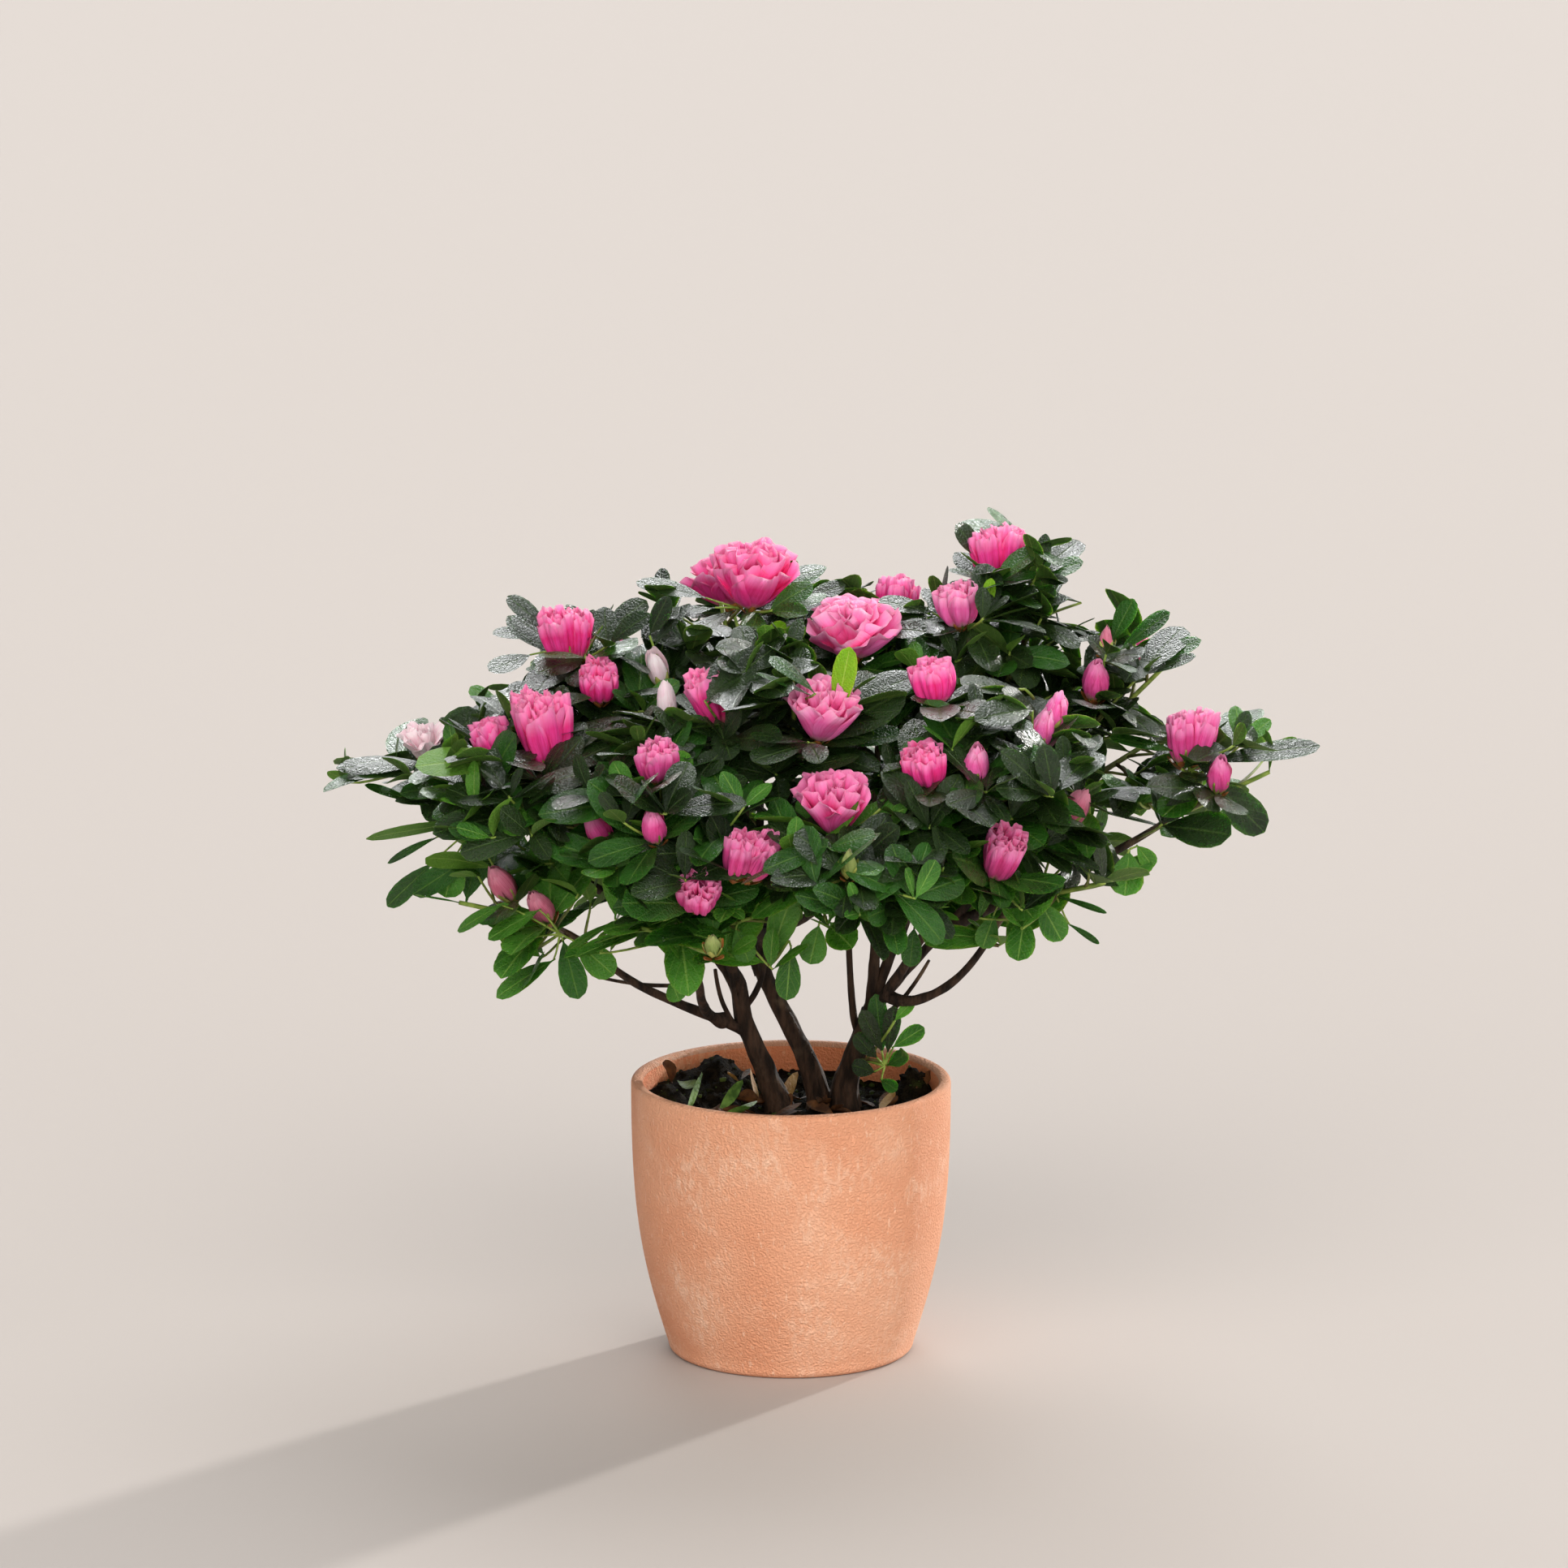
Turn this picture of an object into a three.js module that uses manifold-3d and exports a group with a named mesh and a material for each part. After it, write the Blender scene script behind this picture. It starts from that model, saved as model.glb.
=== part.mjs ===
// A florist's azalea in a round terracotta pot: pot, potting soil, three stems that fork into boughs,
// one mass of foliage at the end of each bough, and a young shoot at the foot. Millimetres, +Z up,
// +Y away from the front. The origin is on the pot's axis, in the plane of its flat underside.
import * as THREE from 'three';
import { mergeVertices } from 'three/addons/utils/BufferGeometryUtils.js';
import Module from 'manifold-3d';

const wasm = await Module();
wasm.setup();

const CLEARANCE = 0.3;

// The pot is turned: upright under the rim, drawn in to a smaller foot with a rounded edge.
const POT = { height: 122, rimRadius: 70, lipRound: 2, wall: 5.2, floor: 9, footRadius: 50.5, footRound: 3.5 };
const POT_BELLY = [[67, 44], [70, 66]];
const POT_STEPS = { round: 28, side: 4, corner: 2 };

// The soil fills the pot to its level. It is flat where the stems stand, with low mounds round that seat.
const SOIL = { level: 106, gap: 0.45, rings: 4, seat: [10, 7], seatRadius: 27, seatEdge: 12 };
const MOUNDS = [
  { at: [-32, 26], height: 9, spread: 11 },
  { at: [50, 22], height: 8, spread: 9 },
  { at: [-50, -8], height: 5, spread: 9 },
  { at: [8, 50], height: 3, spread: 14 },
  { at: [-8, -44], height: 3, spread: 14 },
  { at: [38, -38], height: 4, spread: 12 },
];

// Each stem is one bend from its foot, through two handles, to its tip. Its radius is given at the foot
// and at the tip.
const STEMS = {
  stem_left: { path: [[-5, 6, 103], [-8, 6, 124], [-22, 3, 139], [-23, 1, 164]], radius: [5.2, 3.5] },
  stem_middle: { path: [[13, 11, 103], [12, 10, 124], [-2, 15, 142], [-14, 19, 168]], radius: [4.8, 3.5] },
  stem_right: { path: [[23, 7, 103], [22, 7, 124], [31, 3, 134], [35, 3, 152]], radius: [5.4, 4.3] },
};
const ROOT_FLARE = { share: 0.6, height: 8 };
const STEM_SHAPE = { sides: 8, steps: 6 };

// The crown. A mass keeps to the ellipsoid at its centre, whose half sizes are its reach, and to its own
// side of its neighbours. Its bough leaves another limb, from, at a share of that limb's length, and hangs
// by sag. Its seed starts its row of drawn numbers.
const CROWN = {
  top_left: { centre: [-24, 16, 300], reach: [58, 60, 62], from: ['stem_middle', 1], sag: 0, seed: 1 },
  upper_left: { centre: [-88, 6, 288], reach: [58, 60, 54], from: ['stem_middle', 0.96], sag: 0, seed: 2 },
  centre: { centre: [2, -66, 288], reach: [58, 58, 52], from: ['stem_middle', 0.9], sag: 0.05, seed: 3 },
  back_centre: { centre: [-14, 96, 268], reach: [60, 60, 56], from: ['stem_middle', 0.93], sag: 0.05, seed: 4 },
  front_left: { centre: [-55, -91, 256], reach: [60, 58, 50], from: ['stem_left', 1], sag: 0.1, seed: 35 },
  left: { centre: [-108, -56, 264], reach: [60, 60, 56], from: ['stem_left', 0.97], sag: 0.05, seed: 6 },
  lower_left: { centre: [-114, -34, 202], reach: [64, 60, 50], from: ['stem_left', 0.66], sag: 0.12, seed: 7 },
  back_left: { centre: [-96, 74, 258], reach: [60, 60, 56], from: ['stem_left', 0.92], sag: 0.05, seed: 38 },
  top_right: { centre: [96, 14, 302], reach: [56, 60, 70], from: ['stem_right', 1], sag: 0, seed: 9 },
  top_centre: { centre: [38, 4, 286], reach: [56, 60, 60], from: ['stem_right', 0.95], sag: 0, seed: 30 },
  upper_right: { centre: [142, 6, 284], reach: [54, 60, 54], from: ['stem_right', 0.98], sag: 0.1, seed: 11 },
  front_right: { centre: [84, -80, 262], reach: [60, 58, 52], from: ['stem_right', 0.9], sag: 0.1, seed: 12 },
  far_left: { centre: [-152, 4, 248], reach: [50, 62, 50], from: ['left', 0.3], sag: 0.05, seed: 13 },
  low_front: { centre: [-47, -73, 204], reach: [60, 60, 38], from: ['lower_left', 0.2], sag: 0.1, seed: 44 },
  front_centre: { centre: [24, -112, 236], reach: [58, 52, 42], from: ['centre', 0.25], sag: 0.1, seed: 15 },
  far_right: { centre: [186, -8, 250], reach: [50, 56, 42], from: ['upper_right', 0.4], sag: 0.05, seed: 16 },
  lower_right: { centre: [110, -46, 214], reach: [60, 58, 40], from: ['front_right', 0.2], sag: 0.3, seed: 17 },
  back_right: { centre: [74, 88, 262], reach: [62, 62, 58], from: ['top_right', 0.3], sag: 0.05, seed: 18 },
  back_far_right: { centre: [148, 66, 250], reach: [54, 58, 48], from: ['back_right', 0.3], sag: 0.05, seed: 19 },
  back_low_left: { centre: [-58, 72, 202], reach: [60, 58, 42], from: ['back_centre', 0.25], sag: 0.1, seed: 20 },
  back_low_right: { centre: [58, 72, 204], reach: [60, 58, 42], from: ['back_right', 0.2], sag: 0.1, seed: 21 },
};
const CORE = [8, 0, 190];
const BOUGH = { radius: [2.5, 1.5], sides: 5, steps: 3, entry: 0.6, lift: 0.32, level: 0.3 };

// The young shoot at the foot springs from the side of a stem.
const FOOT_SHOOT = {
  centre: [40, -9, 140],
  reach: [21, 18, 26],
  stem: 'stem_right',
  share: 0.3,
  facing: [0.5, -0.3, 0.8],
  leafScale: 0.44,
  directions: 4,
  seed: 22,
};

// Blooms are placed by hand at shoot tips; each belongs to the mass whose space it is in: kind, x, y, z.
const BLOOMS = [
  ['open', -18, 2, 332], ['open', 27, -16, 312], ['cup', 46, 24, 326], ['cup', 73, -16, 327],
  ['pair', 90, 14, 340], ['pair', -95, -8, 310], ['cup', -82, -32, 297], ['pale', -55, -18, 300],
  ['pale', -53, -52, 290], ['cluster', -103, -64, 276], ['cup', -124, -50, 274], ['pale_open', -158, -12, 266],
  ['cup', -38, -62, 292], ['open', 10, -78, 294], ['cup', 62, -72, 304], ['pair', 106, -72, 290],
  ['cup', 58, -106, 276], ['bud', 78, -102, 276], ['cup', -56, -98, 276], ['cup', 18, -112, 262],
  ['pair', -21, -124, 240], ['cup', -39, -118, 226], ['bud', -57, -116, 254], ['bud', -78, -92, 246],
  ['bud', -104, -58, 206], ['bud', -120, -46, 212], ['bud', 88, -94, 236], ['bud', 117, -60, 248],
  ['bud', 131, -18, 294], ['bud', 136, 2, 310], ['pair', 172, -16, 266], ['bud', 184, -28, 256],
  ['green', 24, -146, 246], ['green', -33, -128, 208],
  ['cup', -112, 100, 286], ['bud', -80, 84, 294], ['open', -26, 116, 308], ['cup', 12, 128, 290],
  ['bud', -46, 140, 270], ['cup', 84, 116, 298], ['pair', 118, 108, 280], ['bud', -62, 134, 214],
  ['bud', 62, 132, 216], ['bud', 150, 44, 296], ['pale_open', -140, 46, 268],
];

// Each kind of bloom: radius and height pairs of its outline from the stalk up, and how many sit together.
const BLOOM_KINDS = {
  open: { outline: [[0, -3], [9, 5], [21, 20], [17, 27], [0, 24]], sides: 7, together: 1 },
  pale_open: { outline: [[0, -3], [6, 5], [12, 20], [0, 23]], sides: 6, together: 1 },
  cup: { outline: [[0, -3], [7, 5], [9, 19], [0, 24]], sides: 6, together: 1 },
  cluster: { outline: [[0, -3], [8, 6], [9, 24], [0, 34]], sides: 5, together: 3 },
  pair: { outline: [[0, -3], [6, 6], [6, 17], [0, 24]], sides: 5, together: 2 },
  pale: { outline: [[0, -3], [4.5, 7], [0, 20]], sides: 5, together: 1 },
  bud: { outline: [[0, -3], [5.5, 8], [0, 20]], sides: 5, together: 1 },
  green: { outline: [[0, -3], [4, 4], [0, 15]], sides: 5, together: 1 },
};
const BLOOM_GROUP = { spread: 0.12, lean: 0.3, turn: 0.3 };
const BLOOM_ALONE = { spread: 0, lean: 0, turn: 0 };

// Leaves are fewer and a little larger than life: the plant has several times as many.
const LEAF = { length: 46, width: 22, thickness: 0.9, widest: 0.2, arch: 0.07, sunk: 0.4 };
const SPRAY = { leaves: 7, step: 4, lean: [0.5, 1.7], size: [0.8, 1.1] };
const TRIES = { size: [1, 0.8, 0.62], turn: [0, 0.7, -0.7] };
const SHOOTS = { directions: 12, depth: [0.5, 0.78], spacing: 41, facing: -0.4 };
const TWIG = { stem: [1.5, 0.9], side: [1, 0.8], sides: 3, steps: 3, bare: 0.3 };
const PLAN = { forks: [0.2, 0.85], leader: 0.5 };
const AIM = { outward: 0.5, up: 0.45, lift: 0.25 };
const GOLDEN_ANGLE = Math.PI * (3 - Math.sqrt(5));

const COLOURS = {
  pot: new THREE.MeshStandardMaterial({ color: 0xdf9a72, roughness: 0.85, metalness: 0 }),
  soil: new THREE.MeshStandardMaterial({ color: 0x16120d, roughness: 1, metalness: 0 }),
  bark: new THREE.MeshStandardMaterial({ color: 0x3a2a20, roughness: 0.9, metalness: 0 }),
  foliage: new THREE.MeshStandardMaterial({ color: 0x1f4a20, roughness: 0.4, metalness: 0 }),
};

const plant = new THREE.Group();

// A small repeatable generator of numbers from 0 to 1.
const DRAW = { factor: 48271, modulus: 2147483647, stride: 7919 };
function seeded(seed) {
  let state = seed * DRAW.stride + 1;
  return () => {
    state = (state * DRAW.factor) % DRAW.modulus;
    return state / DRAW.modulus;
  };
}

const vector = (list) => new THREE.Vector3(...list);
const taper = ([from, to]) => (share) => from + (to - from) * share;

function solid(geometry) {
  const bare = geometry.index ? geometry.toNonIndexed() : geometry.clone();
  bare.deleteAttribute('normal');
  bare.deleteAttribute('uv');
  const merged = mergeVertices(bare, 1e-3);
  const triVerts = new Uint32Array(merged.index.array);
  return new wasm.Manifold(
    new wasm.Mesh({ numProp: 3, vertProperties: merged.attributes.position.array, triVerts }),
  );
}

// Only the largest body stays, so a loose scrap is dropped and a sealed hollow is filled.
function largest(manifold) {
  return manifold.decompose().sort((a, b) => b.volume() - a.volume())[0];
}

function add(name, manifold, material) {
  const { vertProperties, triVerts } = largest(manifold).getMesh();
  const geometry = new THREE.BufferGeometry();
  geometry.setAttribute('position', new THREE.BufferAttribute(new Float32Array(vertProperties), 3));
  geometry.setIndex(new THREE.BufferAttribute(new Uint32Array(triVerts), 1));
  geometry.computeVertexNormals();
  const mesh = new THREE.Mesh(geometry, material);
  mesh.name = name;
  plant.add(mesh);
}

function corners(geometry) {
  const position = geometry.attributes.position;
  return Array.from({ length: position.count }, (_, i) => new THREE.Vector3().fromBufferAttribute(position, i));
}

// A cylinder bent along a curve, with its own radius at each share of the curve.
function limb(curve, radiusAt, sides, steps) {
  const geometry = new THREE.CylinderGeometry(1, 1, 1, sides, steps);
  const position = geometry.attributes.position;
  for (let i = 0; i < position.count; i++) {
    const share = position.getY(i) + 0.5;
    const tangent = curve.getTangent(share);
    const east = new THREE.Vector3(0, 1, 0).cross(tangent).normalize();
    const north = new THREE.Vector3().crossVectors(tangent, east);
    const point = curve
      .getPoint(share)
      .addScaledVector(east, -position.getX(i) * radiusAt(share))
      .addScaledVector(north, position.getZ(i) * radiusAt(share));
    position.setXYZ(i, point.x, point.y, point.z);
  }
  return geometry;
}

function potSide() {
  const { height, rimRadius, lipRound, footRadius, footRound } = POT;
  const foot = new THREE.Vector2(footRadius + footRound, footRound);
  const lip = new THREE.Vector2(rimRadius, height - lipRound);
  const [lower, upper] = POT_BELLY.map((handle) => new THREE.Vector2(...handle));
  return new THREE.CubicBezierCurve(foot, lower, upper, lip).getPoints(POT_STEPS.side);
}

// A rounded corner of the pot's section, through a quarter turn from the given quarter.
function roundCorner(x, y, radius, quarter) {
  const from = (quarter * Math.PI) / 2;
  return new THREE.EllipseCurve(x, y, radius, radius, from, from + Math.PI / 2).getPoints(POT_STEPS.corner);
}

// The inside face follows the side, one wall in, from the floor up.
function potInside() {
  const { wall, floor, footRound } = POT;
  const outside = potSide().filter((p) => p.y > floor + footRound);
  const inside = outside.map((p) => new THREE.Vector2(p.x - wall, p.y));
  return [new THREE.Vector2(inside[0].x - footRound, floor), ...inside];
}

function buildPot() {
  const { height, rimRadius, lipRound, footRadius, footRound, wall, floor } = POT;
  const profile = [
    new THREE.Vector2(0, 0),
    ...roundCorner(footRadius, footRound, footRound, -1),
    ...potSide().slice(1, -1),
    ...roundCorner(rimRadius - lipRound, height - lipRound, lipRound, 0),
    ...roundCorner(rimRadius - wall + lipRound, height - lipRound, lipRound, 1),
    ...potInside().slice(0, -1).reverse(),
    new THREE.Vector2(0, floor),
  ];
  add('pot', solid(new THREE.LatheGeometry(profile, POT_STEPS.round).rotateX(Math.PI / 2)), COLOURS.pot);
}

function soilHeight(x, y) {
  const { level, seat, seatRadius, seatEdge } = SOIL;
  const rises = MOUNDS.map(({ at, height, spread }) => {
    const away = Math.hypot(x - at[0], y - at[1]);
    return height * Math.exp(-(away ** 2) / (2 * spread ** 2));
  });
  const fromSeat = Math.hypot(x - seat[0], y - seat[1]);
  const free = THREE.MathUtils.smoothstep(fromSeat, seatRadius, seatRadius + seatEdge);
  return level + free * rises.reduce((sum, rise) => sum + rise, 0);
}

function buildSoil() {
  const { level, gap, rings } = SOIL;
  const inside = potInside();
  const above = inside.findIndex((p) => p.y >= level);
  const [lower, upper] = [inside[above - 1], inside[above]];
  const edge = lower.clone().lerp(upper, (level - lower.y) / (upper.y - lower.y));
  const profile = [...inside.slice(0, above), edge].map((p) => new THREE.Vector2(p.x - gap, p.y));
  profile[0].y += CLEARANCE;
  profile.unshift(new THREE.Vector2(0, profile[0].y));
  for (let ring = rings - 1; ring >= 0; ring--) {
    profile.push(new THREE.Vector2(((edge.x - gap) * ring) / rings, level));
  }
  const turned = new THREE.LatheGeometry(profile, POT_STEPS.round).rotateX(Math.PI / 2);
  const position = turned.attributes.position;
  for (let i = 0; i < position.count; i++) {
    const onTop = position.getZ(i) > level - CLEARANCE;
    if (onTop) position.setZ(i, soilHeight(position.getX(i), position.getY(i)));
  }
  add('potting_soil', solid(turned), COLOURS.soil);
}

const bend = (points) => new THREE.CubicBezierCurve3(...points.map((p) => (p.isVector3 ? p : vector(p))));

// A stem flares at its root. It is drawn from a little below the soil's level.
function stemRadius({ path, radius }) {
  const length = bend(path).getLength();
  const flare = (share) => 1 + ROOT_FLARE.share * Math.exp(-(share * length) / ROOT_FLARE.height);
  return (share) => taper(radius)(share) * flare(share);
}

function stemBody(stem, extra) {
  const radiusAt = stemRadius(stem);
  return solid(limb(bend(stem.path), (s) => radiusAt(s) + extra, STEM_SHAPE.sides, STEM_SHAPE.steps));
}

// The flat cut at the foot stands just above the soil.
const levelled = (body) => body.trimByPlane([0, 0, 1], SOIL.level + CLEARANCE);

function outwardOf(mass) {
  if (mass.facing) return vector(mass.facing).normalize();
  const outward = vector(mass.centre).sub(vector(CORE)).normalize();
  outward.z += AIM.lift;
  return outward.normalize();
}

// A bough leaves its parent at a slant, then turns out to where it enters its mass.
function boughCurve(mass, parent) {
  const start = parent.getPoint(mass.from[1]);
  const centre = vector(mass.centre);
  const way = centre.clone().sub(start).normalize();
  const along = parent.getTangent(mass.from[1]).add(way).normalize();
  const inward = start.clone().sub(centre);
  const depth = inward.clone().divide(vector(mass.reach)).length();
  const end = centre.clone().addScaledVector(inward, BOUGH.entry / depth);
  const span = start.distanceTo(end);
  const first = start.clone().addScaledVector(along, BOUGH.lift * span);
  const last = end.clone().addScaledVector(inward.normalize(), BOUGH.level * span);
  first.z -= mass.sag * span;
  last.z -= mass.sag * span;
  return bend([start, first, last, end]);
}

// Each limb is cut back from those made before it, so that a fork's pieces stand just clear of each other.
function buildTimber() {
  const curves = {};
  const made = [];
  const place = (name, body, swollen) => {
    const clear = made.reduce((rest, other) => rest.subtract(other), body);
    add(name, clear, COLOURS.bark);
    made.push(swollen);
  };
  for (const [name, stem] of Object.entries(STEMS)) {
    curves[name] = bend(stem.path);
    place(name, levelled(stemBody(stem, 0)), stemBody(stem, CLEARANCE));
  }
  for (const [name, mass] of Object.entries(CROWN)) {
    const curve = boughCurve(mass, curves[mass.from[0]]);
    const body = (extra) => {
      return solid(limb(curve, (s) => taper(BOUGH.radius)(s) + extra, BOUGH.sides, BOUGH.steps));
    };
    curves[name] = curve;
    place(`bough_${name}`, body(0), body(CLEARANCE));
  }
  return { curves, limbs: made };
}

const SPACES = { ...CROWN, foot_shoot: FOOT_SHOOT };
const meanReach = (mass) => (mass.reach[0] + mass.reach[1] + mass.reach[2]) / 3;
const power = (point, mass) => point.distanceToSquared(vector(mass.centre)) - meanReach(mass) ** 2;

// A mass's side of each neighbour is told by a flat plane between the two, so a convex piece with all its
// corners in the space is wholly in it.
function inSpace(point, name) {
  const mass = SPACES[name];
  const inside = point.clone().sub(vector(mass.centre)).divide(vector(mass.reach)).length() < 1;
  return inside && onOwnSide(point, name);
}

function onOwnSide(point, name) {
  const mass = SPACES[name];
  return Object.entries(SPACES).every(([other, rival]) => {
    const apart = vector(mass.centre).distanceTo(vector(rival.centre));
    return other === name || power(point, rival) - power(point, mass) > 2 * apart * CLEARANCE;
  });
}

function nearestSpace(point) {
  const names = Object.keys(CROWN);
  return names.reduce((best, name) => (power(point, CROWN[name]) < power(point, CROWN[best]) ? name : best));
}

// An eight-faced blade, widest past its middle, lying along its length and square to up.
function leafBlade(root, along, up, length, width) {
  const blade = new THREE.OctahedronGeometry(1);
  const position = blade.attributes.position;
  for (let i = 0; i < position.count; i++) {
    const middle = 1 - Math.abs(position.getX(i));
    position.setX(i, position.getX(i) + LEAF.widest * middle);
    position.setZ(i, position.getZ(i) * (LEAF.thickness / length) + LEAF.arch * middle);
  }
  blade.translate(1, 0, 0).scale(length / 2, width / 2, length / 2);
  const across = new THREE.Vector3().crossVectors(up, along).normalize();
  const normal = new THREE.Vector3().crossVectors(along, across);
  return blade.applyMatrix4(new THREE.Matrix4().makeBasis(along, across, normal).setPosition(root));
}

const UPRIGHT = 0.9;
function perpendicular(axis) {
  const helper = Math.abs(axis.z) < UPRIGHT ? new THREE.Vector3(0, 0, 1) : new THREE.Vector3(1, 0, 0);
  return new THREE.Vector3().crossVectors(axis, helper).normalize();
}

// A spray of leaves round the outer half of a shoot, the youngest nearest the tip and the most upright.
// Each leaf is given as the blades it could be, in the order they are tried.
function spray({ tip, aim, inner }, draw, scale) {
  const spoke = perpendicular(aim).applyAxisAngle(aim, draw() * 2 * Math.PI);
  const length = tip.distanceTo(inner);
  const count = Math.min(SPRAY.leaves, Math.floor(length / (SPRAY.step * scale)) + 1);
  return Array.from({ length: count }, (_, i) => {
    const lean = taper(SPRAY.lean)((i + draw()) / SPRAY.leaves);
    const full = scale * taper(SPRAY.size)(draw());
    const place = tip.clone().lerp(inner, (i * SPRAY.step * scale) / length);
    return TRIES.size.flatMap((share) => TRIES.turn.map((turn) => {
      const side = spoke.clone().applyAxisAngle(aim, i * GOLDEN_ANGLE + turn);
      const along = aim.clone().multiplyScalar(Math.cos(lean)).addScaledVector(side, Math.sin(lean));
      const root = place.clone().addScaledVector(along, -LEAF.sunk);
      return leafBlade(root, along, aim, LEAF.length * full * share, LEAF.width * full * share);
    }));
  });
}

function bloomBodies({ kind, tip, aim }) {
  const { outline, sides, together } = BLOOM_KINDS[kind];
  const group = together > 1 ? BLOOM_GROUP : BLOOM_ALONE;
  return Array.from({ length: together }, (_, i) => {
    const aside = perpendicular(aim).applyAxisAngle(aim, (i * 2 * Math.PI) / together + group.turn);
    const lean = aim.clone().addScaledVector(aside, group.lean).normalize();
    const place = tip.clone().addScaledVector(aside, group.spread * outline[1][0]);
    const turned = new THREE.LatheGeometry(outline.map((p) => new THREE.Vector2(...p)), sides);
    const turn = new THREE.Quaternion().setFromUnitVectors(new THREE.Vector3(0, 1, 0), lean);
    return solid(turned.applyQuaternion(turn).translate(place.x, place.y, place.z));
  });
}

// Shoot tips: those with blooms first, then an even spread of directions that face out of the crown.
function shootTips(mass, name, leader, draw) {
  const blooms = BLOOMS.map(([kind, ...place]) => ({ kind, tip: vector(place) }));
  const tips = blooms.filter(({ tip }) => nearestSpace(tip) === name);
  const outward = outwardOf(mass);
  const scale = mass.leafScale ?? 1;
  const turn = draw() * 2 * Math.PI;
  const directions = mass.directions ?? SHOOTS.directions;
  for (let i = 0; i < directions; i++) {
    const height = 1 - (2 * i + 1) / directions;
    const ring = Math.sqrt(1 - height * height);
    const bearing = turn + i * GOLDEN_ANGLE;
    const way = new THREE.Vector3(ring * Math.cos(bearing), ring * Math.sin(bearing), height);
    const depth = taper(SHOOTS.depth)(draw());
    const tip = vector(mass.centre).add(way.clone().multiply(vector(mass.reach)).multiplyScalar(depth));
    const taken = [leader, ...tips.map((other) => other.tip)];
    const apart = taken.every((p) => p.distanceTo(tip) > scale * SHOOTS.spacing);
    if (apart && way.dot(outward) > SHOOTS.facing && inSpace(tip, name)) tips.push({ tip });
  }
  return tips;
}

// The plan of a mass: its own stem, from just past the bough's tip to a leader, and a twig out to each
// shoot. The twigs leave the stem one after another, the nearest shoot's first.
function planMass(name, start, heading) {
  const mass = SPACES[name];
  const draw = seeded(mass.seed);
  const outward = outwardOf(mass);
  const centre = vector(mass.centre);
  const leader = centre.clone().add(outward.clone().multiply(vector(mass.reach)).multiplyScalar(PLAN.leader));
  const foot = start.clone().addScaledVector(heading, CLEARANCE);
  const first = foot.clone().addScaledVector(heading, foot.distanceTo(centre) / 2);
  const stem = bend([foot, first, centre, leader]);
  const away = (shoot) => shoot.tip.distanceTo(foot);
  const tips = shootTips(mass, name, leader, draw).sort((a, b) => away(a) - away(b));
  const shoots = tips.map((shoot, i) => {
    const twig = new THREE.LineCurve3(stem.getPoint(taper(PLAN.forks)((i + 0.5) / tips.length)), shoot.tip);
    return { ...shoot, twig, inner: twig.getPoint(TWIG.bare), aim: aimed(twig.getTangent(1), outward) };
  });
  const inner = stem.getPoint(1 - 1 / TWIG.steps);
  const top = { tip: leader, inner, aim: aimed(stem.getTangent(1), outward) };
  const flowers = shoots.filter((shoot) => shoot.kind).flatMap(bloomBodies);
  return { name, mass, draw, stem, top, shoots, flowers };
}

function aimed(tangent, outward) {
  const aim = tangent.clone().addScaledVector(outward, AIM.outward);
  aim.z += AIM.up;
  return aim.normalize();
}

const union = (bodies) => wasm.Manifold.union(bodies);

function isNear(body, { centre, reach }) {
  const { min, max } = body.boundingBox();
  return centre.every((middle, i) => max[i] > middle - reach[i] && min[i] < middle + reach[i]);
}

// Two corners of a body closer than this would be taken for one, and its surface would no longer close.
const CLOSEST_CORNERS = 0.0015;
function isSound(body) {
  const { vertProperties } = body.getMesh();
  const points = Array.from({ length: vertProperties.length / 3 }, (_, i) => {
    return new THREE.Vector3().fromArray(vertProperties, 3 * i);
  });
  points.sort((a, b) => a.x - b.x);
  return points.every((point, i) => {
    for (let j = i + 1; j < points.length && points[j].x - point.x < CLOSEST_CORNERS; j++) {
      if (points[j].distanceTo(point) < CLOSEST_CORNERS) return false;
    }
    return true;
  });
}

// A leaf is kept where it stays in its space and touches nothing but the twig it grows from.
function growLeaves({ name, mass, draw, flowers }, wood, hard) {
  const clear = (body, other) => body.intersect(other).isEmpty();
  let leaves = union(flowers).subtract(hard);
  for (const { shoot, body } of wood) {
    const others = union([hard, ...wood.filter((piece) => piece.body !== body).map((piece) => piece.body)]);
    for (const blades of spray(shoot, draw, mass.leafScale ?? 1)) {
      const kept = blades.map((blade) => ({ blade, body: solid(blade) })).find(({ blade, body: leaf }) => {
        return corners(blade).every((p) => inSpace(p, name)) && clear(leaf, others) && clear(leaf, leaves);
      });
      if (kept) leaves = leaves.add(kept.body);
    }
  }
  return largest(union([...wood.map((piece) => piece.body), leaves]));
}

// The leaves are drawn again, a few times at most, until the mass is sound.
const DRAWS = 10;
function growMass(plan, obstacles) {
  const { name, mass, stem, top, shoots } = plan;
  const hard = union(obstacles.filter((other) => isNear(other, mass)));
  const wood = [{ shoot: top, body: solid(limb(stem, taper(TWIG.stem), TWIG.sides, TWIG.steps)) }];
  for (const shoot of shoots) {
    const twig = limb(shoot.twig, taper(TWIG.side), TWIG.sides, 1);
    const body = solid(twig);
    const stays = corners(twig).every((p) => onOwnSide(p, name)) && body.intersect(hard).isEmpty();
    if (shoot.kind || stays) wood.push({ shoot, body });
  }
  let body = growLeaves(plan, wood, hard);
  for (let draws = 1; draws < DRAWS && !isSound(body); draws++) body = growLeaves(plan, wood, hard);
  add(`foliage_${name}`, body, COLOURS.foliage);
}

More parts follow.
